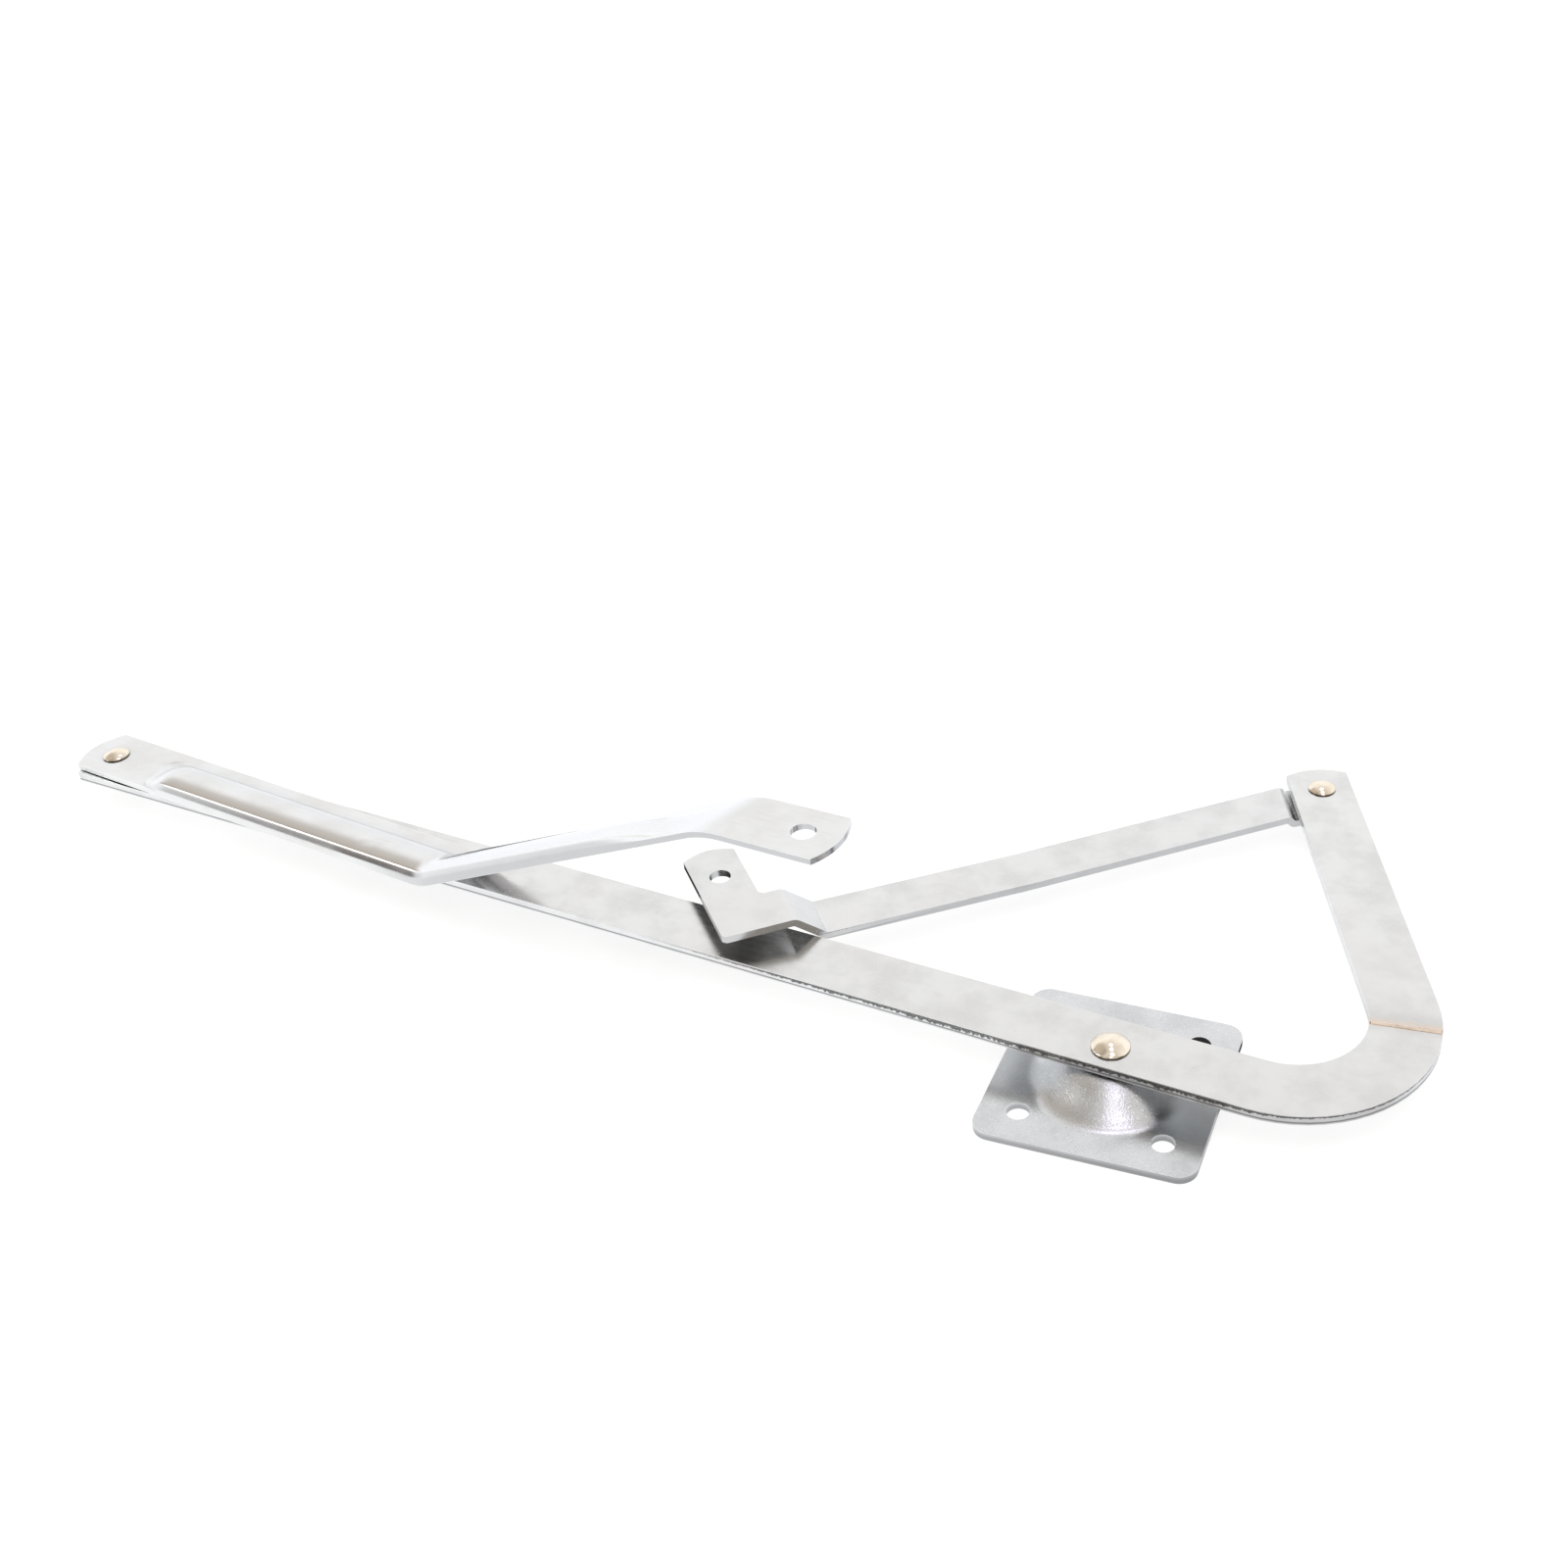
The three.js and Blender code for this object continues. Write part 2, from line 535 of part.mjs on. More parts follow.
// A slab whose grid of corners is laid along the stations, across the section.
function channelArm() {
  const stations = armStations();
  const runs = stations.length - 1;
  const columns = 2 * (PLAIN_SIDE.length - 1);
  const slab = new THREE.BoxGeometry(1, 1, 1, runs, columns, 1);
  const position = slab.attributes.position;
  const foldSkew = Math.tan(THREE.MathUtils.degToRad(ARM_FOLD_SKEW));
  const distances = [-ARM_END_BEYOND_RIVET];
  for (let i = 1; i <= runs; i += 1) {
    distances.push(distances[i - 1] + stations[i].place.distanceTo(stations[i - 1].place));
  }
  for (let i = 0; i < position.count; i += 1) {
    const row = Math.round((position.getX(i) + 0.5) * runs);
    const column = Math.round((position.getY(i) + 0.5) * columns);
    const point = armPoint(stations[row], distances[row], column, position.getZ(i) > 0);
    point.x += foldSkew * skewAt(distances[row], distances[runs]) * point.y;
    if (row === 0) point.x -= endReach(point.y, ARM_RIVET_END_BULGE);
    if (row === runs) point.x += endReach(point.y, ARM_TIP_BULGE);
    point.y += armDrift(stations[row].place.x);
    position.setXYZ(i, point.x, point.y, point.z);
  }
  const tipX = stations[runs].place.x + ARM_TIP_BULGE;
  const holeX = tipX - ARM_HOLE_FROM_TIP;
  const tipZ = stations[runs].place.y;
  const arm = solidOf(slab)
    .subtract(drill(0, 0, SMALL_RIVET.shank + BORE_PLAY, -ARM_THICKNESS, 2 * ARM_THICKNESS))
    .subtract(drill(holeX, ARM_MIDDLE + armDrift(holeX), ARM_HOLE_RADIUS, tipZ - ARM_THICKNESS, tipZ + 2 * ARM_THICKNESS));
  return geometryOf(arm)
    .rotateZ(THREE.MathUtils.degToRad(ARM_TURN))
    .translate(ARM_RIVET_X, ARM_RIVET_Y, ARM_BOTTOM);
}

function endReach(sideways, bulge) {
  const share = Math.min(1, Math.abs(sideways - ARM_MIDDLE) / (ARM_WIDTH / 2));
  return bulge * (1 - share * share);
}

// One corner of the arm's sheet: a column across, on the upper or lower face.
function armPoint(station, along, column, isUpper) {
  const middle = PLAIN_SIDE.length - 1;
  const side = column < middle ? -1 : 1;
  const section = column < middle ? PLAIN_SIDE : HOOK_SIDE;
  const entry = section[middle - Math.abs(column - middle)];
  const [across, share] = isUpper ? entry.upper : entry.lower;
  const isEdge = Math.abs(column - middle) === middle;
  const width = isEdge ? 1 : ribWidthAt(along);
  const height = share * RIB_HEIGHT * ribHeightAt(along) + (isUpper ? ARM_THICKNESS : 0);
  const x = station.place.x - Math.sin(station.heading) * height;
  const z = station.place.y + Math.cos(station.heading) * height;
  return new THREE.Vector3(x, side * across * width, z);
}

// ---- Rivets and washers --------------------------------------------------

// A rivet from the seat of its domed head down to the seat of its formed tail.
function rivet(size, headSeat, tailSeat) {
  const capSteps = 6;
  const rim = 0.5;
  const profile = [[0, tailSeat - size.tailHeight]];
  profile.push([0.75 * size.tail, tailSeat - size.tailHeight]);
  profile.push([size.tail, tailSeat - 0.55 * size.tailHeight]);
  profile.push([size.tail, tailSeat]);
  profile.push([size.shank, tailSeat], [size.shank, headSeat], [size.head, headSeat]);
  for (let i = 0; i <= capSteps; i += 1) {
    const angle = (Math.PI / 2) * (i / capSteps);
    const height = rim + (size.headHeight - rim) * Math.sin(angle);
    profile.push([i === capSteps ? 0 : size.head * Math.cos(angle), headSeat + height]);
  }
  return turned(profile, 28);
}

function washer(inner, outer, bottom, thickness) {
  const top = bottom + thickness;
  return turned([[inner, bottom], [outer, bottom], [outer, top], [inner, top], [inner, bottom]], 32);
}

// ---- Assembly ------------------------------------------------------------

const bracket = new THREE.Group();

function addPiece(name, geometry, material, x = 0, y = 0) {
  const mesh = new THREE.Mesh(geometry, material);
  mesh.name = name;
  mesh.position.set(x - RIM_POINT_X, y, 0);
  bracket.add(mesh);
}

// One riveted pivot: the rivet, the spacer between the layers, the tail washer.
function addPivot(prefix, size, x, y, headSeat, spacer, tailWasherTop) {
  const bore = size.shank + BORE_PLAY;
  const washerZ = tailWasherTop - TAIL_WASHER_THICKNESS;
  const ring = washer(bore, spacer.radius, spacer.bottom, spacer.thickness);
  addPiece(`${prefix}_rivet`, rivet(size, headSeat, washerZ - LAYER_GAP), RIVET_NICKEL, x, y);
  addPiece(`${prefix}_spacer`, ring, WASHER_ZINC, x, y);
  addPiece(
    `${prefix}_tail_washer`,
    washer(bore, size.tail + TAIL_WASHER_MARGIN, washerZ, TAIL_WASHER_THICKNESS),
    WASHER_ZINC,
    x,
    y,
  );
}

addPiece('base_plate', basePlate(), PLATE_ZINC);
addPiece('main_bar', mainBar(), BAR_ZINC);
addPiece('hook_arm', hookArm(), BAR_ZINC);
addPiece('weld_seam', weldSeam(), WELD_STEEL);
addPiece('stay_link', stayLink(), BAR_ZINC);
addPiece('channel_arm', channelArm(), SHEET_ZINC);
addPivot(
  'pivot', PIVOT_RIVET, 0, 0, BAR_TOP + LAYER_GAP,
  { radius: PIVOT_SPACER_RADIUS, bottom: PIVOT_SPACER_Z, thickness: SPACER_THICKNESS },
  DOME_TOP - PLATE_THICKNESS - LAYER_GAP,
);
addPivot(
  'link', SMALL_RIVET, LINK_RIVET.x, LINK_RIVET.y, BAR_TOP + LAYER_GAP,
  { radius: SMALL_SPACER_RADIUS, bottom: LINK_SPACER_Z, thickness: SPACER_THICKNESS },
  LINK_LOW_BOTTOM - LAYER_GAP,
);
addPivot(
  'arm', SMALL_RIVET, ARM_RIVET_X, ARM_RIVET_Y, ARM_TOP + LAYER_GAP,
  { radius: SMALL_SPACER_RADIUS, bottom: ARM_SPACER_Z, thickness: ARM_SPACER_THICKNESS },
  BAR_BOTTOM - LAYER_GAP,
);

export default bracket;
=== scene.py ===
"""Looks for the riveted roof bracket: bright zinc bars, a pressed domed plate, a ribbed arm, nickel rivets.

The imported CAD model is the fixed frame. Metres, +Z up, +X along the flat bar towards the hook.
"""

import json
import math

import bmesh
import bpy
import numpy as np
from mathutils import Euler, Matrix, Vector

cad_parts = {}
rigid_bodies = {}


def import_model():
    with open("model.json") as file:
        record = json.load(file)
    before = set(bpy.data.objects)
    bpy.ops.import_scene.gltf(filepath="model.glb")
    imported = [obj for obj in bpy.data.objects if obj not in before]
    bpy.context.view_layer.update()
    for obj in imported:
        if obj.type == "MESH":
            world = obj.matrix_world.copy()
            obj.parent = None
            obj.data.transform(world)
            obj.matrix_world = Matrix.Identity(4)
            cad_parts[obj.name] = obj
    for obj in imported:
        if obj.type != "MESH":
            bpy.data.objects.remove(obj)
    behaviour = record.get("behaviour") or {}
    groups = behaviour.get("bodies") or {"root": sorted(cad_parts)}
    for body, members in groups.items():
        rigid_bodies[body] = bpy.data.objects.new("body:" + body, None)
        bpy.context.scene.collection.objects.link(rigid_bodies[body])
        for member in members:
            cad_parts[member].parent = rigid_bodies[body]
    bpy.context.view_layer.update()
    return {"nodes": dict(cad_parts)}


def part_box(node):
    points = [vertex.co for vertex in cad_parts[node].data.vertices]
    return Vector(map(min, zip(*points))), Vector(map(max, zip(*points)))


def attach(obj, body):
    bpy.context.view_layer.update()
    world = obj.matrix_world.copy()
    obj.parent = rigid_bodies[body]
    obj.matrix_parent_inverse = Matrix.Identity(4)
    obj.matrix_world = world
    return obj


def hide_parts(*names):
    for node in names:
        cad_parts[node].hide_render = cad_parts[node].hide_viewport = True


for leftover in list(bpy.data.objects):
    bpy.data.objects.remove(leftover)

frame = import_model()

MM = 0.001

# ---- Sizes the frame gives, and the ones it doesn't -----------------------

def middle(node):
    low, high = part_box(node)
    return (low + high) / 2


PIVOT = middle("pivot_rivet")
ARM_RIVET = middle("arm_rivet")
BAR_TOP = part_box("main_bar")[1].z
DOME_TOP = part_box("base_plate")[1].z
ARM_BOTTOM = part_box("channel_arm")[0].z
WELD = middle("weld_seam")
WELD_HEADING = math.radians(101)

PLATE_SIDE = 80 * MM
PLATE_THICKNESS = 3 * MM
PLATE_CORNER = 7 * MM
PLATE_TURN = math.radians(5.5)
PLATE_HOLE_OFFSET = 26 * MM
PLATE_HOLE_RADIUS = 4.25 * MM
DOME_TOP_RADIUS = 9 * MM
DOME_FOOT_RADIUS = 30 * MM
DOME_RINGS = 40
BORE_RADIUS = 4.1 * MM
BORE_RING_RADIUS = 6 * MM  # a level ring of faces round the bore
RIM_RING_RADIUS = 31 * MM  # the last round ring, on the flat rim
RIM_SHARES = (0.25, 0.5, 0.75, 0.93, 1.0)  # rings between that one and the square outline
PLATE_SIDE_STEPS = 16
PLATE_CORNER_STEPS = 12
PLATE_CUT = (-5 * MM, 8 * MM)  # levels the corner holes are cut between

ARM_WIDTH = 27.1 * MM
ARM_MIDDLE = 0.8 * MM
ARM_THICKNESS = 2.5 * MM
ARM_TURN = math.radians(-3.3)
ARM_END = 10.5 * MM
ARM_RIVET_END_BULGE = 4.5 * MM
ARM_TIP_BULGE = 3.5 * MM
ARM_ELBOW = 195.5 * MM
ARM_FOLD_SKEW = math.radians(14)
ARM_SLOPE = math.radians(25.2)
ARM_SLOPE_LENGTH = 161 * MM
ARM_FLAT_LENGTH = 41.4 * MM
ARM_ELBOW_RADIUS = 24 * MM
ARM_CRANK_RADIUS = 34 * MM
ARM_ELBOW_DRIFT = math.radians(1)
ARM_CRANK_DRIFT = math.radians(2)
ARM_HOLE_FROM_TIP = 14.5 * MM
ARM_HOLE_RADIUS = 4.75 * MM
ARM_BORE_RADIUS = 3.6 * MM
RIB_HEIGHT = 4.9 * MM
RIB_START = 27 * MM
RIB_NOSE = 15 * MM
RIB_RAMP = 17 * MM
RIB_NOSE_WIDTH = 0.45
RIB_END = 352 * MM
RIB_FADE = 56 * MM

HOLE_AROUND = 64

RIVET_RIM = 0.5 * MM  # upright band below the domed part of a rivet's head
RIVET_ROLL = 0.15 * MM  # cut off the head's lower edge
RIVET_AROUND = 72
RIVET_DOME_STEPS = 18
LARGE_RIVET = {
    "shank": 4 * MM, "head": 7.1 * MM, "head_height": 3.2 * MM, "tail": 6 * MM, "tail_height": 2.4 * MM,
}
SMALL_RIVET = {
    "shank": 3.5 * MM, "head": 5.7 * MM, "head_height": 2.3 * MM, "tail": 5.2 * MM, "tail_height": 2.1 * MM,
}

SHARP_DEGREES = 38  # folds sharper than this stay sharp and get rolled edges
RIVET_SHARP_DEGREES = 50
MERGE_DISTANCE = 0.002 * MM  # points of a CAD mesh nearer than this are one point
FLAT_DEGREES = 0.4  # faces of a CAD mesh that bend less than this are one face
BAR_EDGE = 0.45 * MM
LINK_EDGE = 0.4 * MM
WELD_EDGE = 0.12 * MM
SPACER_EDGE = 0.1 * MM
TAIL_WASHER_EDGE = 0.15 * MM
PLATE_EDGE = 0.5 * MM
SHEET_EDGE = 0.35 * MM


# ---- Small helpers ---------------------------------------------------------

def smoothstep(value, low, high):
    share = np.clip((value - low) / (high - low), 0, 1)
    return share * share * (3 - 2 * share)


def new_object(name, vertices, faces, body, material):
    """A mesh piece that rides on a body, with its faces turned outwards."""
    mesh = bpy.data.meshes.new(name)
    mesh.from_pydata([tuple(v) for v in vertices], [], [tuple(f) for f in faces])
    mesh.validate()
    piece = bpy.data.objects.new(name, mesh)
    bpy.context.scene.collection.objects.link(piece)
    finish_piece(piece, body, material)
    return piece


def finish_piece(piece, body, material):
    outward_faces(piece.data)
    piece.data.materials.clear()
    piece.data.materials.append(material)
    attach(piece, body)


def outward_faces(mesh):
    work = bmesh.new()
    work.from_mesh(mesh)
    bmesh.ops.recalc_face_normals(work, faces=work.faces)
    work.to_mesh(mesh)
    work.free()


def shade(piece, sharp_degrees=SHARP_DEGREES):
    """Shades a piece smooth, with its real edges kept sharp."""
    piece.data.shade_smooth()
    piece.data.set_sharp_from_angle(angle=math.radians(sharp_degrees))


def round_edges(piece, width, segments=3):
    """Rolls the real edges over, as plated sheared steel has them."""
    bevel = piece.modifiers.new("edge", "BEVEL")
    bevel.width = width
    bevel.segments = segments
    bevel.limit_method = "ANGLE"
    bevel.angle_limit = math.radians(SHARP_DEGREES)
    bevel.use_clamp_overlap = True
    bevel.harden_normals = True


def cut_round_holes(piece, holes):
    """Cuts vertical holes listed as (x, y, radius, bottom, top) and keeps the result."""
    cutters = []
    for index, (x, y, radius, bottom, top) in enumerate(holes):
        bpy.ops.mesh.primitive_cylinder_add(
            vertices=HOLE_AROUND, radius=radius, depth=top - bottom, location=(x, y, (top + bottom) / 2)
        )
        cutter = bpy.context.object
        cutter.name = f"cutter_{index}"
        cutters.append(cutter)
        cut = piece.modifiers.new(cutter.name, "BOOLEAN")
        cut.operation = "DIFFERENCE"
        cut.solver = "EXACT"
        cut.object = cutter
    bpy.context.view_layer.update()
    graph = bpy.context.evaluated_depsgraph_get()
    result = bpy.data.meshes.new_from_object(piece.evaluated_get(graph))
    piece.modifiers.clear()
    piece.data = result
    for cutter in cutters:
        bpy.data.objects.remove(cutter)


# ---- Material nodes --------------------------------------------------------

def new_material(name):
    material = bpy.data.materials.new(name)
    material.use_nodes = True
    material.node_tree.nodes.clear()
    return material, material.node_tree


def add_node(tree, kind, inputs=None, **settings):
    node = tree.nodes.new(kind)
    for key, value in settings.items():
        setattr(node, key, value)
    for key, value in (inputs or {}).items():
        if isinstance(value, bpy.types.NodeSocket):
            tree.links.new(value, node.inputs[key])
        else:
            node.inputs[key].default_value = value
    return node


def place(tree, stretch=(1, 1, 1), turn=0.0):
    """Where the surface is in the piece's own metres, turned about +Z and scaled along each axis."""
    coordinates = add_node(tree, "ShaderNodeTexCoord").outputs["Object"]
    inputs = {"Vector": coordinates, "Scale": stretch, "Rotation": (0, 0, turn)}
    return add_node(tree, "ShaderNodeMapping", inputs).outputs["Vector"]


def noise(tree, where, per_metre, detail, rough):
    inputs = {"Vector": where, "Scale": per_metre, "Detail": detail, "Roughness": rough}
    return add_node(tree, "ShaderNodeTexNoise", inputs).outputs["Fac"]


def math_op(tree, operation, first, second=0.0):
    node = add_node(tree, "ShaderNodeMath", {0: first, 1: second}, operation=operation)
    return node.outputs[0]


def times(tree, first, *others):
    """The product of two or more values."""
    for other in others:
        first = math_op(tree, "MULTIPLY", first, other)
    return first


def plus(tree, first, second):
    return math_op(tree, "ADD", first, second)


def dot(tree, first, second):
    node = add_node(tree, "ShaderNodeVectorMath", {0: first, 1: second}, operation="DOT_PRODUCT")
    return node.outputs["Value"]


def axes(tree, vector):
    """The x, y and z parts of a vector."""
    return add_node(tree, "ShaderNodeSeparateXYZ", {0: vector}).outputs


def surface_normal(tree):
    return add_node(tree, "ShaderNodeNewGeometry").outputs["Normal"]


def span(tree, value, low, high, to_low=0.0, to_high=1.0, smooth=True):
    """Maps low..high to to_low..to_high, clamped. Low may lie above high."""
    kind = "SMOOTHSTEP" if smooth else "LINEAR"
    inputs = {"Value": value, "From Min": low, "From Max": high, "To Min": to_low, "To Max": to_high}
    return add_node(tree, "ShaderNodeMapRange", inputs, interpolation_type=kind, clamp=True).outputs[0]


def blend_colour(tree, share, first, second):
    """The first colour where share is 0, the second where it is 1."""
    node = add_node(tree, "ShaderNodeMix", data_type="RGBA", blend_type="MIX")
    for key, value in ((0, share), (6, first), (7, second)):
        if isinstance(value, bpy.types.NodeSocket):
            tree.links.new(value, node.inputs[key])
        else:
            node.inputs[key].default_value = (*value, 1) if isinstance(value, tuple) else value
    return node.outputs[2]


def bump(tree, height, depth, strength, under=None):
    inputs = {"Height": height, "Distance": depth, "Strength": strength}
    if under is not None:
        inputs["Normal"] = under
    return add_node(tree, "ShaderNodeBump", inputs).outputs["Normal"]


def edge_mask(tree, radius):
    """One along worn edges, nothing on flats."""
    rounded = add_node(tree, "ShaderNodeBevel", {"Radius": radius}, samples=4).outputs["Normal"]
    return span(tree, dot(tree, rounded, surface_normal(tree)), 0.995, 0.86)


def rub_edges(tree, tone, radius, patchy, strength, colour):
    """Brightens the edges where handling has rubbed them."""
    worn = times(tree, edge_mask(tree, radius), patchy, strength)
    return blend_colour(tree, worn, tone, colour)


def side_mask(tree):
    """One on upright faces, nothing on level ones."""
    upward = axes(tree, surface_normal(tree))["Z"]
    return span(tree, math_op(tree, "ABSOLUTE", upward), 0.6, 0.3)


def metal(tree, colour, roughness, normal):
    inputs = {"Base Color": colour, "Roughness": roughness, "Metallic": 1.0, "Normal": normal}
    shader = add_node(tree, "ShaderNodeBsdfPrincipled", inputs)
    add_node(tree, "ShaderNodeOutputMaterial", {"Surface": shader.outputs[0]})


# ---- Materials -------------------------------------------------------------

# The break line on the main bar's sheared side, by where it is along x and y: it shows from SEAM_SHOWS
# on, is widest between SEAM_WIDENS and SEAM_NARROWS, and ends where the hook bar leads away.
SEAM_SHOWS = (-0.26, -0.16)
SEAM_WIDENS = (-0.24, -0.10)
SEAM_NARROWS = (-0.01, 0.045)
HOOK_LEADS_AWAY = (0.03, 0.06)
SEAM_TOP = (0.30 * MM, 0.50 * MM)  # depth below the upper face where the line starts
SEAM_LEAST = 0.45 * MM  # depth of its lower edge where it is narrowest
SHADE_TOP = (2.55 * MM, 2.8 * MM)  # a dim band low on the side, from here
SHADE_FOOT = (3.2 * MM, 3.5 * MM)  # to here

CUT_EDGE_SHOWS = (-0.37, -0.30)  # the sheet's cut edges are dull from here along x on


def weld_distance(tree, coordinates):
    """How far a point is past the weld along the bend, in metres, and whether it is near the seam."""
    ahead = (math.cos(WELD_HEADING), math.sin(WELD_HEADING), 0)
    moved = add_node(tree, "ShaderNodeVectorMath", {0: coordinates, 1: tuple(WELD)}, operation="SUBTRACT")
    reach = add_node(tree, "ShaderNodeVectorMath", {0: moved.outputs[0]}, operation="LENGTH")
    near = span(tree, reach.outputs["Value"], 26 * MM, 18 * MM)
    return dot(tree, moved.outputs[0], ahead), near


def sheared_side(tree, here, side, grain, ragged, seam_width):
    """Masks for a bar's upright faces: the dark break line, the torn face below it, a dim low band."""
    spot = axes(tree, here)
    down = math_op(tree, "SUBTRACT", BAR_TOP, spot["Z"])
    before_hook = span(tree, spot["Y"], *reversed(HOOK_LEADS_AWAY))
    width = times(
        tree, span(tree, spot["X"], *SEAM_WIDENS, 0.2 * seam_width, seam_width),
        span(tree, spot["X"], *reversed(SEAM_NARROWS), 0.35, 1), span(tree, ragged, 0.3, 0.7, 0.5, 1.4),
    )
    past_foot = math_op(tree, "SUBTRACT", down, plus(tree, width, SEAM_LEAST))
    torn = times(tree, side, span(tree, past_foot, -0.05 * MM, 0.3 * MM))
    seam = times(
        tree, span(tree, down, *SEAM_TOP), span(tree, past_foot, 0.12 * MM, -0.12 * MM), side,
        span(tree, spot["X"], *SEAM_SHOWS), before_hook, span(tree, grain, 0.68, 0.58, 0.35, 1),
    )
    shaded = times(
        tree, side, span(tree, down, *SHADE_TOP), span(tree, down, *reversed(SHADE_FOOT)), before_hook,
    )
    return seam, torn, shaded


def bar_zinc(name, colour, tinted, seam_width):
    """Bright zinc on cold rolled flat bar: cloudy top, sheared sides with a ragged break line."""
    material, tree = new_material(name)
    here = place(tree)
    clouds = noise(tree, here, 60, 4, 0.6)
    patches = noise(tree, here, 14, 2, 0.5)
    streaks = noise(tree, place(tree, (0.06, 1, 1)), 900, 2, 0.5)
    grain = noise(tree, here, 2600, 2, 0.6)
    pits = noise(tree, here, 520, 3, 0.7)

    dull = tuple(0.90 * c for c in colour)
    warm = tuple(c * k for c, k in zip(colour, (0.99, 0.975, 0.955)))
    tone = blend_colour(tree, span(tree, clouds, 0.35, 0.7), colour, dull)
    tone = blend_colour(tree, span(tree, patches, 0.5, 0.75, 0, 0.6), tone, warm)
    tone = blend_colour(tree, span(tree, pits, 0.66, 0.78, 0, 0.35), tone, (0.42, 0.42, 0.41))

    side = side_mask(tree)
    ragged = noise(tree, place(tree, (1, 1, 0.2)), 700, 4, 0.75)
    seam, torn, shaded = sheared_side(tree, here, side, grain, ragged, seam_width)
    tone = blend_colour(tree, times(tree, torn, 0.3), tone, (0.70, 0.70, 0.71))
    tone = blend_colour(tree, times(tree, seam, 0.9), tone, (0.07, 0.07, 0.07))
    tone = blend_colour(tree, times(tree, shaded, 0.85), tone, (0.20, 0.20, 0.21))

    tone = rub_edges(tree, tone, 0.5 * MM, span(tree, pits, 0.35, 0.6), 0.5, (0.93, 0.93, 0.92))
    if tinted:
        tone = heat_tint(tree, here, tone)
    else:
        tone = blend_colour(tree, times(tree, side, 0.7), tone, (0.42, 0.42, 0.42))

    rough = span(tree, clouds, 0.3, 0.75, 0.17, 0.27)
    rough = plus(tree, rough, times(tree, torn, 0.16))
    rough = plus(tree, rough, span(tree, streaks, 0.4, 0.7, 0, 0.04))
    normal = bump(tree, grain, 0.006 * MM, 0.5)
    normal = bump(tree, streaks, 0.008 * MM, 0.35, normal)
    normal = bump(tree, clouds, 0.06 * MM, 0.5, normal)
    normal = bump(tree, times(tree, ragged, seam), 0.10 * MM, 0.8, normal)
    metal(tree, tone, rough, normal)
    return material


def heat_tint(tree, here, tone):
    """Straw to brown bands that welding left under the plating, and a soot smudge beside the seam."""
    past, near = weld_distance(tree, here)
    wander = span(tree, noise(tree, here, 260, 3, 0.6), 0.3, 0.7, -0.8 * MM, 0.8 * MM, False)
    past = plus(tree, past, wander)
    soot = times(tree, span(tree, past, -6 * MM, 0.5 * MM), span(tree, past, 11 * MM, 1 * MM), near)
    straw = times(tree, span(tree, past, -2.4 * MM, -0.4 * MM), span(tree, past, 4 * MM, 0.6 * MM), near)
    tone = blend_colour(tree, times(tree, soot, 0.30), tone, (0.40, 0.38, 0.36))
    return blend_colour(tree, times(tree, straw, 0.42), tone, (0.74, 0.56, 0.42))


def sheet_zinc():
    """Bright zinc on pressed sheet: faint drawing lines, a painted highlight and rubbed specks where it
    slopes, painted shade in its hollows.
    """
    material, tree = new_material("sheet_zinc")
    here = place(tree)
    clouds = noise(tree, here, 45, 4, 0.6)
    drawn = noise(tree, place(tree, (0.05, 1, 1), ARM_TURN), 1300, 2, 0.5)
    grain = noise(tree, here, 2400, 2, 0.6)
    tone = blend_colour(tree, span(tree, clouds, 0.35, 0.7), (0.70, 0.70, 0.70), (0.655, 0.65, 0.64))
    tone = blend_colour(tree, span(tree, drawn, 0.55, 0.75, 0, 0.3), tone, (0.58, 0.57, 0.555))

    # Painted highlight: faces that slope along the arm are brightened, and the rubbed specks keep to them.
    sloping = math_op(tree, "ABSOLUTE", axes(tree, surface_normal(tree))["X"])
    painted_slope_light = span(tree, sloping, 0.12, 0.36, 0, 0.8)
    tone = blend_colour(tree, painted_slope_light, tone, (0.84, 0.84, 0.85))
    # Painted shade: ambient occlusion darkens the hollows, such as the rib's feet, towards blue-grey.
    painted_hollow_shade = add_node(tree, "ShaderNodeAmbientOcclusion", {"Distance": 5 * MM}, samples=6).outputs["AO"]
    tone = blend_colour(tree, span(tree, painted_hollow_shade, 0.97, 0.70, 0, 0.8), tone, (0.44, 0.46, 0.49))
    cut = times(tree, side_mask(tree), span(tree, axes(tree, here)["X"], *CUT_EDGE_SHOWS, 0.0, 0.8))
    tone = blend_colour(tree, cut, tone, (0.44, 0.44, 0.45))
    rubs = times(tree, span(tree, noise(tree, here, 1300, 3, 0.7), 0.52, 0.68), painted_slope_light, 0.5)
    tone = blend_colour(tree, rubs, tone, (0.60, 0.60, 0.61))
    tone = rub_edges(tree, tone, 0.5 * MM, span(tree, grain, 0.3, 0.55), 0.6, (0.95, 0.95, 0.94))

    rough = span(tree, clouds, 0.3, 0.75, 0.13, 0.22)
    rough = plus(tree, rough, span(tree, drawn, 0.5, 0.75, 0, 0.05))
    normal = bump(tree, grain, 0.005 * MM, 0.45)
    normal = bump(tree, drawn, 0.008 * MM, 0.35, normal)
    normal = bump(tree, clouds, 0.08 * MM, 0.5, normal)
    metal(tree, tone, rough, normal)
    return material


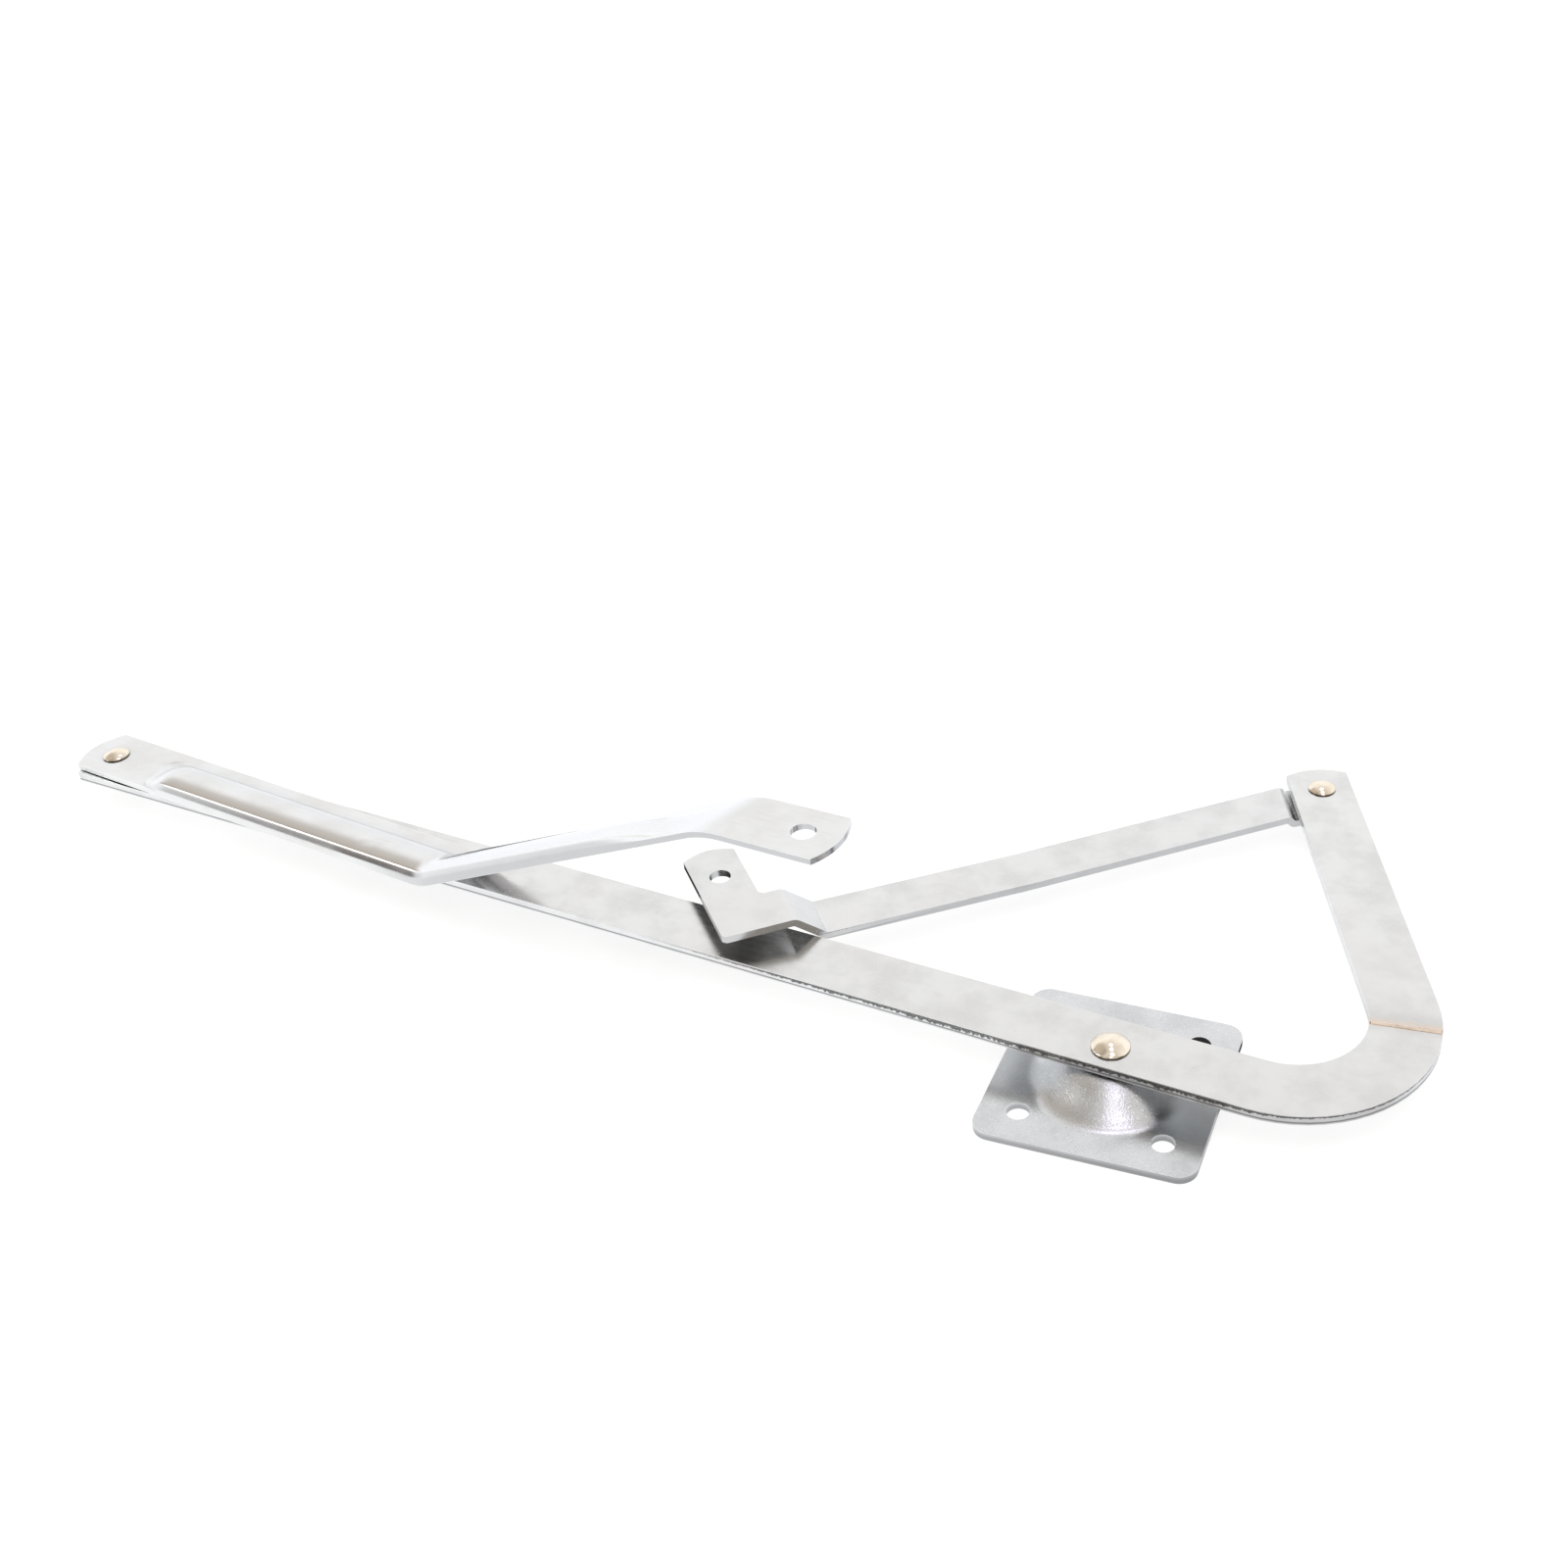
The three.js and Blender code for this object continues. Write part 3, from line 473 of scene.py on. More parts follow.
def plate_zinc():
    """Bluish zinc on the pressed plate, stretched into a sparkling grain over the dome."""
    material, tree = new_material("plate_zinc")
    here = place(tree)
    clouds = noise(tree, here, 55, 4, 0.6)
    cells = add_node(tree, "ShaderNodeTexVoronoi", {"Vector": here, "Scale": 1500.0}).outputs["Distance"]
    grain = noise(tree, here, 1900, 3, 0.65)
    height = axes(tree, here)["Z"]
    on_dome = span(tree, height, PLATE_THICKNESS + 0.2 * MM, PLATE_THICKNESS + 2.5 * MM, 0.45, 1.0)
    tone = blend_colour(tree, span(tree, clouds, 0.35, 0.7), (0.64, 0.655, 0.67), (0.56, 0.575, 0.59))
    tone = blend_colour(tree, span(tree, grain, 0.56, 0.72, 0, 0.6), tone, (0.36, 0.36, 0.37))
    flakes = add_node(tree, "ShaderNodeTexVoronoi", {"Vector": here, "Scale": 1900.0})
    chosen = span(tree, axes(tree, flakes.outputs["Color"])["X"], 0.90, 0.94)
    sparks = times(tree, chosen, span(tree, flakes.outputs["Distance"], 0.42, 0.25), on_dome)
    tone = blend_colour(tree, sparks, tone, (1.0, 1.0, 1.0))
    # Painted shade: the plate's upright sides are darkened, most towards the bottom.
    side = times(tree, side_mask(tree), span(tree, height, 2.7 * MM, 1.2 * MM, 0.4, 0.85))
    tone = blend_colour(tree, side, tone, (0.30, 0.30, 0.31))
    tone = rub_edges(tree, tone, 0.6 * MM, span(tree, grain, 0.3, 0.6), 0.6, (0.92, 0.93, 0.94))
    rough = plus(tree, span(tree, clouds, 0.3, 0.75, 0.14, 0.22), times(tree, on_dome, 0.10))
    normal = bump(tree, cells, 0.07 * MM, times(tree, on_dome, 0.6))
    normal = bump(tree, grain, 0.05 * MM, times(tree, on_dome, 0.7), normal)
    normal = bump(tree, clouds, 0.06 * MM, 0.4, normal)
    metal(tree, tone, rough, normal)
    return material


def washer_zinc():
    material, tree = new_material("washer_zinc")
    here = place(tree)
    clouds = noise(tree, here, 220, 4, 0.6)
    turned = noise(tree, here, 2400, 2, 0.6)
    tone = blend_colour(tree, span(tree, clouds, 0.35, 0.7), (0.74, 0.75, 0.76), (0.60, 0.60, 0.60))
    tone = rub_edges(tree, tone, 0.3 * MM, 1.0, 0.6, (0.9, 0.9, 0.9))
    normal = bump(tree, turned, 0.01 * MM, 0.6)
    metal(tree, tone, span(tree, clouds, 0.3, 0.75, 0.22, 0.36), normal)
    return material


def weld_steel():
    """The ground seam: fine ripples across it, brown heat colours and darker grey patches under thin
    plating.
    """
    material, tree = new_material("weld_steel")
    here = place(tree)
    clouds = noise(tree, here, 420, 4, 0.65)
    ripples = noise(tree, place(tree, (1, 0.15, 1), -WELD_HEADING), 1500, 3, 0.6)
    tone = blend_colour(tree, span(tree, clouds, 0.35, 0.65), (0.70, 0.58, 0.47), (0.60, 0.50, 0.42))
    tone = blend_colour(tree, span(tree, clouds, 0.6, 0.75), tone, (0.40, 0.37, 0.36))
    normal = bump(tree, ripples, 0.05 * MM, 0.7)
    normal = bump(tree, clouds, 0.10 * MM, 0.5, normal)
    metal(tree, tone, span(tree, clouds, 0.3, 0.7, 0.28, 0.45), normal)
    return material


def rivet_nickel(name, seat):
    """Champagne nickel, mirror bright, with soft dents from setting and a painted shade line where it seats.
    """
    material, tree = new_material(name)
    here = place(tree)
    dents = noise(tree, here, 260, 2, 0.5)
    grain = noise(tree, here, 2600, 2, 0.6)
    tone = blend_colour(tree, span(tree, dents, 0.35, 0.7), (0.84, 0.76, 0.65), (0.76, 0.67, 0.55))
    tone = blend_colour(tree, span(tree, grain, 0.62, 0.78, 0, 0.30), tone, (0.42, 0.34, 0.27))
    # Painted shade: the head's lowest band darkens where it meets the part below.
    painted_seat_shade = span(tree, axes(tree, here)["Z"], seat + 0.75 * MM, seat + 0.25 * MM, 0, 0.85)
    tone = blend_colour(tree, painted_seat_shade, tone, (0.09, 0.07, 0.05))
    normal = bump(tree, dents, 0.20 * MM, 0.5)
    normal = bump(tree, grain, 0.004 * MM, 0.4, normal)
    metal(tree, tone, span(tree, dents, 0.3, 0.7, 0.05, 0.09), normal)
    return material


MATERIALS = {
    "bar": bar_zinc("bar_zinc", (0.69, 0.69, 0.688), True, 1.7 * MM),
    "link": bar_zinc("link_zinc", (0.68, 0.68, 0.68), False, 0.5 * MM),
    "sheet": sheet_zinc(),
    "plate": plate_zinc(),
    "washer": washer_zinc(),
    "weld": weld_steel(),
}


# ---- Flat bars, link and washers: the CAD solids with rolled edges ----------

def refined(node, body, material, edge, segments=3):
    """The CAD node's own shape as clean faces, with its edges rolled over."""
    piece = bpy.data.objects.new(f"{node}_plated", frame["nodes"][node].data.copy())
    bpy.context.scene.collection.objects.link(piece)
    work = bmesh.new()
    work.from_mesh(piece.data)
    bmesh.ops.remove_doubles(work, verts=work.verts, dist=MERGE_DISTANCE)
    flat = math.radians(FLAT_DEGREES)
    bmesh.ops.dissolve_limit(work, angle_limit=flat, verts=work.verts, edges=work.edges)
    mesh = bpy.data.meshes.new(piece.name)
    work.to_mesh(mesh)
    work.free()
    piece.data = mesh
    finish_piece(piece, body, material)
    shade(piece)
    round_edges(piece, edge, segments)
    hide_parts(node)


# ---- Domed base plate -------------------------------------------------------

def square_outline(steps_per_side, steps_per_corner):
    """The plate's rounded square as points, anticlockwise, about its centre."""
    inner = PLATE_SIDE / 2 - PLATE_CORNER
    points = []
    for corner in range(4):
        start = corner * math.pi / 2
        out = Vector((math.cos(start), math.sin(start)))
        left = Vector((-out.y, out.x))
        for i in range(steps_per_side):
            points.append(out * (PLATE_SIDE / 2) + left * inner * (2 * i / steps_per_side - 1))
        for i in range(steps_per_corner):
            angle = (math.pi / 2) * i / steps_per_corner
            spot = (out + left) * inner + PLATE_CORNER * (out * math.cos(angle) + left * math.sin(angle))
            points.append(spot)
    return points


def dome_height(radius):
    """How far the dome raises the plate at a radius from the bore."""
    fall = np.clip((radius - DOME_TOP_RADIUS) / (DOME_FOOT_RADIUS - DOME_TOP_RADIUS), 0, 1)
    return (DOME_TOP - PLATE_THICKNESS) / 2 * (1 + np.cos(np.pi * fall))


def build_base_plate():
    """A pressed plate: rings round the bore and over the dome, then out to the square outline."""
    outline = square_outline(PLATE_SIDE_STEPS, PLATE_CORNER_STEPS)
    dome_radii = np.linspace(DOME_TOP_RADIUS, DOME_FOOT_RADIUS, DOME_RINGS)
    rings = []
    for radius in (BORE_RADIUS, BORE_RING_RADIUS, *dome_radii, RIM_RING_RADIUS):
        rings.append([p.normalized() * radius for p in outline])
    for share in RIM_SHARES:
        rings.append([p.normalized() * RIM_RING_RADIUS * (1 - share) + p * share for p in outline])
    turn = Euler((0, 0, PLATE_TURN))
    vertices = []
    for level in (0, PLATE_THICKNESS):
        for ring in rings:
            for point in ring:
                z = level + float(dome_height(point.length))
                spot = Vector((point.x, point.y, z))
                spot.rotate(turn)
                vertices.append(spot + Vector((PIVOT.x, PIVOT.y, 0)))
    faces = slab_ring_faces(len(rings), len(outline))
    piece = new_object("base_plate_pressed", vertices, faces, "base", MATERIALS["plate"])
    holes = []
    for x in (-PLATE_HOLE_OFFSET, PLATE_HOLE_OFFSET):
        for y in (-PLATE_HOLE_OFFSET, PLATE_HOLE_OFFSET):
            spot = Vector((x, y, 0))
            spot.rotate(turn)
            holes.append((PIVOT.x + spot.x, PIVOT.y + spot.y, PLATE_HOLE_RADIUS, *PLATE_CUT))
    cut_round_holes(piece, holes)
    shade(piece)
    round_edges(piece, PLATE_EDGE)
    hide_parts("base_plate")


def slab_ring_faces(rings, around):
    """Faces of a closed ring-shaped slab whose lower rings come before its upper rings."""
    faces = []
    upper = rings * around
    for r in range(rings - 1):
        for i in range(around):
            j = (i + 1) % around
            a, b = r * around + i, r * around + j
            c, d = a + around, b + around
            faces.append((a, c, d, b))
            faces.append((upper + a, upper + b, upper + d, upper + c))
    for i in range(around):
        j = (i + 1) % around
        last = (rings - 1) * around
        faces.append((i, j, upper + j, upper + i))
        faces.append((last + i, upper + last + i, upper + last + j, last + j))
    return faces


# ---- Ribbed channel arm -----------------------------------------------------

# Section of the sheet from its plain edge to its hook edge, as across in mm and share of the rib's
# height, for the upper face and for the lower one.
UPPER_SECTION = [
    (-12.75, 0), (-12.5, 0.16), (-12.1, 0.34), (-11.5, 0.58), (-11.1, 0.70), (-10.7, 0.765),
    (-10.1, 0.81), (-7.4, 0.93), (-5.6, 0.98), (-3.8, 1), (-1.9, 0.977), (0, 0.909), (1.2, 0.842),
    (2.5, 0.749), (3.7, 0.644), (4.9, 0.52), (6.0, 0.393), (7.1, 0.249), (8.0, 0.10), (8.5, 0.03),
    (9.2, 0), (11.8, 0), (14.35, 0),
]
LOWER_SECTION = [
    (-12.75, 0), (-9.9, 0), (-9.5, 0.2), (-9.1, 0.5), (-8.8, 0.68), (-8.4, 0.77),
    (-7.9, 0.83), (-6.8, 0.91), (-5.3, 0.97), (-3.8, 1), (-1.9, 0.97), (0, 0.893), (0.6, 0.86),
    (1.6, 0.785), (2.65, 0.692), (3.7, 0.584), (4.65, 0.475), (5.6, 0.357), (6.5, 0.2), (7.45, 0.07),
    (9.0, 0), (11.8, 0), (14.35, 0),
]


def rounded_section(corners):
    """The section with its corners cut twice to round them."""
    line = np.array(corners, float)
    for _ in range(2):
        first, second = line[:-1], line[1:]
        cut = np.empty((2 * len(first), 2))
        cut[0::2] = 0.75 * first + 0.25 * second
        cut[1::2] = 0.25 * first + 0.75 * second
        line = np.vstack([line[:1], cut, line[-1:]])
    line[:, 0] *= MM
    return line


def arm_stations():
    """Places along the underside line seen from the side: distance along, x, z and heading."""
    elbow_cut = ARM_ELBOW_RADIUS * math.tan(ARM_SLOPE / 2)
    crank_cut = ARM_CRANK_RADIUS * math.tan(ARM_SLOPE / 2)
    moves = [
        (ARM_END + RIB_START, 0, 8),
        (RIB_NOSE, 0, 18),
        (ARM_ELBOW - elbow_cut - RIB_START - RIB_NOSE, 0, 50),
        (ARM_ELBOW_RADIUS * ARM_SLOPE, ARM_SLOPE, 16),
        (RIB_END - RIB_FADE - ARM_ELBOW - elbow_cut, 0, 28),
        (ARM_ELBOW + ARM_SLOPE_LENGTH - crank_cut - RIB_END + RIB_FADE, 0, 28),
        (ARM_CRANK_RADIUS * ARM_SLOPE, -ARM_SLOPE, 20),
        (ARM_FLAT_LENGTH - crank_cut, 0, 12),
    ]
    along, x, z, heading = -ARM_END, -ARM_END, 0.0, 0.0
    stations = [(along, x, z, heading)]
    for length, turn, steps in moves:
        for _ in range(steps):
            middle = heading + turn / steps / 2
            x += math.cos(middle) * length / steps
            z += math.sin(middle) * length / steps
            along += length / steps
            heading += turn / steps
            stations.append((along, x, z, heading))
    return np.array(stations)


def arm_surface(stations, section, lift):
    """One face of the arm as a grid of points: a row per station, a column per section point."""
    along, x, z, heading = (stations[:, k][:, None] for k in range(4))
    across, share = section[:, 0][None, :], section[:, 1][None, :]
    fade = smoothstep(along, RIB_START, RIB_START + RIB_RAMP)
    fade = fade * (1 - smoothstep(along, RIB_END - RIB_FADE, RIB_END))
    nose = np.clip((along - RIB_START) / RIB_NOSE, 0, 1)
    width = RIB_NOSE_WIDTH + (1 - RIB_NOSE_WIDTH) * np.sqrt(nose * (2 - nose))
    outermost = np.abs(across - ARM_MIDDLE) > ARM_WIDTH / 2 - 1e-6
    y = across * np.where(outermost, 1, width)
    height = share * RIB_HEIGHT * fade + lift
    height = height + arm_marks(along + 0 * y, y) * (lift > 0)
    length = along[-1]
    rising = smoothstep(along, RIB_START + RIB_NOSE, ARM_ELBOW - ARM_ELBOW_RADIUS)
    falling = 1 - smoothstep(along, ARM_ELBOW + ARM_SLOPE_LENGTH, length)
    skew = math.tan(ARM_FOLD_SKEW) * np.minimum(rising, falling)
    px = x - np.sin(heading) * height + skew * y
    pz = z + np.cos(heading) * height
    bulge_share = np.minimum(1, np.abs(y - ARM_MIDDLE) / (ARM_WIDTH / 2)) ** 2
    px[0] -= ARM_RIVET_END_BULGE * (1 - bulge_share[0])
    px[-1] += ARM_TIP_BULGE * (1 - bulge_share[-1])
    return np.stack([px, y + arm_drift(x), pz], axis=-1)


def arm_drift(x):
    """How far the arm's line wanders to the hook side past its elbow and past its crank."""
    crank_x = ARM_ELBOW + ARM_SLOPE_LENGTH * math.cos(ARM_SLOPE)
    return (math.tan(ARM_ELBOW_DRIFT) * np.maximum(0, x - ARM_ELBOW)
            + math.tan(ARM_CRANK_DRIFT) * np.maximum(0, x - crank_x))


# Small press marks: two stretch creases where the rib dies out, a pinch on its shoulder and one beside
# its nose, as the place along and across, turn in degrees, half length, half width and height in mm.
PRESS_MARKS = [
    (322, 1.5, 28, 7.0, 0.8, -0.30),
    (327, -1.0, 24, 4.5, 0.7, -0.16),
    (160, -6.5, 62, 3.6, 1.1, -0.16),
    (30, 6.0, 30, 5.0, 1.6, -0.25),
]


def arm_marks(along, y):
    """How far the press marks raise the upper face."""
    marks = np.zeros_like(along)
    for spot, side, turn, half_length, half_width, rise in PRESS_MARKS:
        cos, sin = math.cos(math.radians(turn)), math.sin(math.radians(turn))
        u, v = along / MM - spot, y / MM - side
        lengthwise, crosswise = u * cos + v * sin, -u * sin + v * cos
        marks += rise * MM * np.exp(-(lengthwise / half_length) ** 2 - (crosswise / half_width) ** 2)
    return marks


def build_channel_arm():
    """The sheet arm with its rib, its bore and the hole near its tip."""
    stations = arm_stations()
    upper = arm_surface(stations, rounded_section(UPPER_SECTION), ARM_THICKNESS)
    lower = arm_surface(stations, rounded_section(LOWER_SECTION), 0.0)
    rows, columns, _ = upper.shape
    points = np.concatenate([lower.reshape(-1, 3), upper.reshape(-1, 3)])
    points = points @ turn_about_z(ARM_TURN).T + np.array([ARM_RIVET.x, ARM_RIVET.y, ARM_BOTTOM])
    faces = slab_faces(rows, columns)
    piece = new_object("channel_arm_pressed", points, faces, "arm", MATERIALS["sheet"])
    tip = stations[-1]
    hole = np.array([tip[1] + ARM_TIP_BULGE - ARM_HOLE_FROM_TIP, 0, tip[2]])
    hole[1] = ARM_MIDDLE + arm_drift(hole[0])
    hole = turn_about_z(ARM_TURN) @ hole + np.array([ARM_RIVET.x, ARM_RIVET.y, ARM_BOTTOM])
    reach = 2 * ARM_THICKNESS
    cut_round_holes(piece, [
        (ARM_RIVET.x, ARM_RIVET.y, ARM_BORE_RADIUS, ARM_BOTTOM - reach, ARM_BOTTOM + 2 * reach),
        (hole[0], hole[1], ARM_HOLE_RADIUS, hole[2] - reach, hole[2] + 2 * reach),
    ])
    shade(piece)
    round_edges(piece, SHEET_EDGE)
    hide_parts("channel_arm")


def turn_about_z(angle):
    cos, sin = math.cos(angle), math.sin(angle)
    return np.array([[cos, -sin, 0], [sin, cos, 0], [0, 0, 1]])


def slab_faces(rows, columns):
    """Faces of a closed slab whose lower grid comes before its upper grid."""
    upper = rows * columns
    faces = []
    for r in range(rows - 1):
        for c in range(columns - 1):
            a = r * columns + c
            b, d = a + 1, a + columns
            faces.append((a, b, d + 1, d))
            faces.append((upper + a, upper + d, upper + d + 1, upper + b))
        for c in (0, columns - 1):
            a = r * columns + c
            faces.append((a, a + columns, upper + a + columns, upper + a))
    for r in (0, rows - 1):
        for c in range(columns - 1):
            a = r * columns + c
            faces.append((a, a + 1, upper + a + 1, upper + a))
    return faces


# ---- Rivets -----------------------------------------------------------------

def build_rivet(node, body, shank, head, head_height, tail, tail_height):
    """A turned rivet with a domed head, a shank and a formed tail, on the CAD rivet's axis."""
    low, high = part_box(node)
    seat = high.z - head_height
    tail_top = low.z + tail_height
    profile = [
        (0, low.z), (0.55 * tail, low.z), (0.82 * tail, low.z + 0.12 * tail_height),
        (tail, low.z + 0.5 * tail_height), (tail, tail_top), (shank, tail_top), (shank, seat),
        (head - RIVET_ROLL, seat), (head, seat + RIVET_ROLL),
    ]
    rise = head_height - RIVET_RIM
    ball = (head * head + rise * rise) / (2 * rise)
    for i in range(RIVET_DOME_STEPS + 1):
        tilt = math.asin(head / ball) * (1 - i / RIVET_DOME_STEPS)
        radius = ball * math.sin(tilt) if i < RIVET_DOME_STEPS else 0
        profile.append((radius, high.z - ball * (1 - math.cos(tilt))))
    centre = (low + high) / 2
    vertices, faces, rings = [], [], []
    for radius, z in profile:
        count = 1 if radius == 0 else RIVET_AROUND
        rings.append((len(vertices), count))
        for i in range(count):
            angle = 2 * math.pi * i / RIVET_AROUND
            vertices.append((centre.x + radius * math.cos(angle), centre.y + radius * math.sin(angle), z))
    for (a, count_a), (b, count_b) in zip(rings, rings[1:]):
        for i in range(RIVET_AROUND):
            j = (i + 1) % RIVET_AROUND
            if count_a == 1:
                faces.append((a, b + j, b + i))
            elif count_b == 1:
                faces.append((a + i, a + j, b))
            else:
                faces.append((a + i, a + j, b + j, b + i))
    nickel = rivet_nickel(f"{node}_nickel", seat)
    piece = new_object(f"{node}_set", vertices, faces, body, nickel)
    shade(piece, RIVET_SHARP_DEGREES)
    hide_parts(node)


# ---- Studio -----------------------------------------------------------------

CAMERA_PLACE = (0.1495, -0.4739, 0.4721)
CAMERA_TURN = (58.42, 2.609, 25.842)
CAMERA_LENS = 43.74
CAMERA_SHIFT = (-0.0988, -0.0499)
CAMERA_NEAREST = 0.01
SENSOR_WIDTH = 36

# The room as the metal mirrors it, from level to overhead, as (rise, colour). Its front is the camera's
# side.
ROOM_BEHIND = [
    (0.0, (1.11, 1.13, 1.16)), (0.20, (1.19, 1.20, 1.21)), (0.55, (1.25, 1.25, 1.25)),
    (0.75, (1.08, 1.07, 1.05)), (0.90, (0.92, 0.88, 0.84)), (1.0, (0.82, 0.78, 0.73)),
]
ROOM_IN_FRONT = [
    (0.0, (0.05, 0.04, 0.04)), (0.15, (0.22, 0.19, 0.17)), (0.33, (0.50, 0.45, 0.39)),
    (0.55, (0.64, 0.59, 0.53)), (0.75, (0.76, 0.72, 0.67)), (1.0, (0.82, 0.78, 0.73)),
]
FRONT_ENDS = (-0.42, -0.26)  # cosines, from the way to the back of the room

# Tan cards, softboxes and a dark shape at the camera, as the way to them, the radii in degrees of their
# full and their faded parts, and their colour.
SOFTBOXES = [
    ((-0.46, -0.24, 0.86), 5, 24, (0.46, 0.42, 0.38)),
    ((-0.66, 0.02, 0.74), 5, 29, (0.66, 0.60, 0.53)),
    ((-0.65, -0.53, 0.54), 6, 9, (7.0, 6.9, 6.8)),
    ((-0.10, 0.34, 0.93), 3, 8, (2.6, 2.45, 2.9)),
    ((0.05, 0.06, 1.0), 3, 8, (2.8, 2.65, 3.1)),
    ((0.20, -0.24, 0.95), 4, 9, (3.4, 3.2, 3.8)),
    ((0.24, -0.50, 0.83), 3, 7, (3.2, 3.1, 3.0)),
    ((0.22, -0.84, 0.42), 14, 19, (0.15, 0.12, 0.09)),
]

# A long low card on the camera's side: its lower and upper edges by rise, its ends by the same cosine.
LOW_CARD_FOOT = (0.16, 0.18)
LOW_CARD_TOP = (0.24, 0.26)
LOW_CARD_ENDS = (-0.80, -0.70)
LOW_CARD_COLOUR = (2.2, 2.2, 2.2)
SEEN_ROOM = (0.98, 0.98, 0.98)

# The floor as the metal mirrors it, a painted reflection: in front of the bar, in front past the hook, and
# behind the bar.
FLOOR_IN_FRONT = (1.30, 1.31, 1.32)
FLOOR_PAST_HOOK = (0.86, 0.86, 0.86)
FLOOR_BEHIND = (1.14, 1.16, 1.19)
HOOK_STARTS = (-0.12, 0.02)
BAR_LINE = (0.0, 0.05)

# Two parts of it that the metal mirrors as painted shade, as spans in x and y: below the tab and the arm's
# elbow, and below the far half of the base plate.
PAINTED_SHADE_PATCHES = [((-0.42, -0.195), (-0.008, 0.07)), ((-0.075, 0.01), (0.005, 0.045))]
PAINTED_SHADE_COLOUR = (0.05, 0.05, 0.05)
PATCH_SOFT_EDGE = 0.008
PATCH_FAR_SOFT_EDGE = 0.02

FLOOR_SIZE = 12
FLOOR_GLOW = 0.93  # share of the floor's tone that doesn't depend on the lamp, so shadows stay faint
FLOOR_DIMMING = 0.82
LAMP_PLACE = (-0.2, 0.1, 2.6)
LAMP_SIZE = 4.0
LAMP_WATTS = 80


def build_camera():
    camera = bpy.data.objects.new("camera", bpy.data.cameras.new("camera"))
    bpy.context.scene.collection.objects.link(camera)
    camera.location = CAMERA_PLACE
    camera.rotation_euler = Euler([math.radians(a) for a in CAMERA_TURN])
    camera.data.lens = CAMERA_LENS
    camera.data.sensor_width = SENSOR_WIDTH
    camera.data.shift_x, camera.data.shift_y = CAMERA_SHIFT
    camera.data.clip_start = CAMERA_NEAREST
    bpy.context.scene.camera = camera


def colour_by(tree, value, stops):
    """A colour that runs through stops listed as (value, colour)."""
    node = add_node(tree, "ShaderNodeValToRGB", {0: value})
    ramp = node.color_ramp
    while len(ramp.elements) < len(stops):
        ramp.elements.new(0.5)
    for element, (spot, colour) in zip(ramp.elements, stops):
        element.position = spot
        element.color = (*colour, 1)
    return node.outputs[0]


def build_world():
    """The room: a pale sweep behind, dimmer in front with cards and softboxes. Seen directly it is white."""
    world = bpy.data.worlds.new("studio")
    bpy.context.scene.world = world
    world.use_nodes = True
    tree = world.node_tree
    tree.nodes.clear()
    direction = add_node(tree, "ShaderNodeTexCoord").outputs["Generated"]
    rise = axes(tree, direction)["Z"]
    behind = colour_by(tree, rise, ROOM_BEHIND)
    front = colour_by(tree, rise, ROOM_IN_FRONT)
    camera = Vector(CAMERA_PLACE) - Vector((PIVOT.x, PIVOT.y, 0))
    facing = dot(tree, direction, tuple(Vector((-camera.x, -camera.y, 0)).normalized()))
    room = blend_colour(tree, span(tree, facing, *FRONT_ENDS), front, behind)

    for way, inner, outer, colour in SOFTBOXES:
        aim = dot(tree, direction, tuple(Vector(way).normalized()))
        lit = span(tree, aim, math.cos(math.radians(outer)), math.cos(math.radians(inner)))
        room = blend_colour(tree, lit, room, colour)
    low_card = times(
        tree, span(tree, rise, *LOW_CARD_FOOT), span(tree, rise, *reversed(LOW_CARD_TOP)),
        span(tree, facing, *reversed(LOW_CARD_ENDS)),
    )
    room = blend_colour(tree, low_card, room, LOW_CARD_COLOUR)
    direct = add_node(tree, "ShaderNodeLightPath").outputs["Is Camera Ray"]
    room = blend_colour(tree, direct, room, SEEN_ROOM)
    background = add_node(tree, "ShaderNodeBackground", {"Color": room, "Strength": 1.0})
    add_node(tree, "ShaderNodeOutputWorld", {"Surface": background.outputs[0]})


def floor_in_metal(tree, here):
    """The floor's colour as the metal mirrors it, with painted shade where it lies under the bracket."""
    spot = axes(tree, here)
    x, y = spot["X"], spot["Y"]
    front = blend_colour(tree, span(tree, x, *HOOK_STARTS), FLOOR_IN_FRONT, FLOOR_PAST_HOOK)
    floor = blend_colour(tree, span(tree, y, *BAR_LINE), front, FLOOR_BEHIND)
    # Painted shade: dark patches under the tab, the elbow and the plate.
    for (left, right), (near, far) in PAINTED_SHADE_PATCHES:
        inside = times(
            tree, span(tree, x, left - PATCH_SOFT_EDGE, left),
            span(tree, x, right + PATCH_SOFT_EDGE, right),
            span(tree, y, near - PATCH_SOFT_EDGE, near),
            span(tree, y, far + PATCH_FAR_SOFT_EDGE, far),
        )
        floor = blend_colour(tree, inside, floor, PAINTED_SHADE_COLOUR)
    return floor


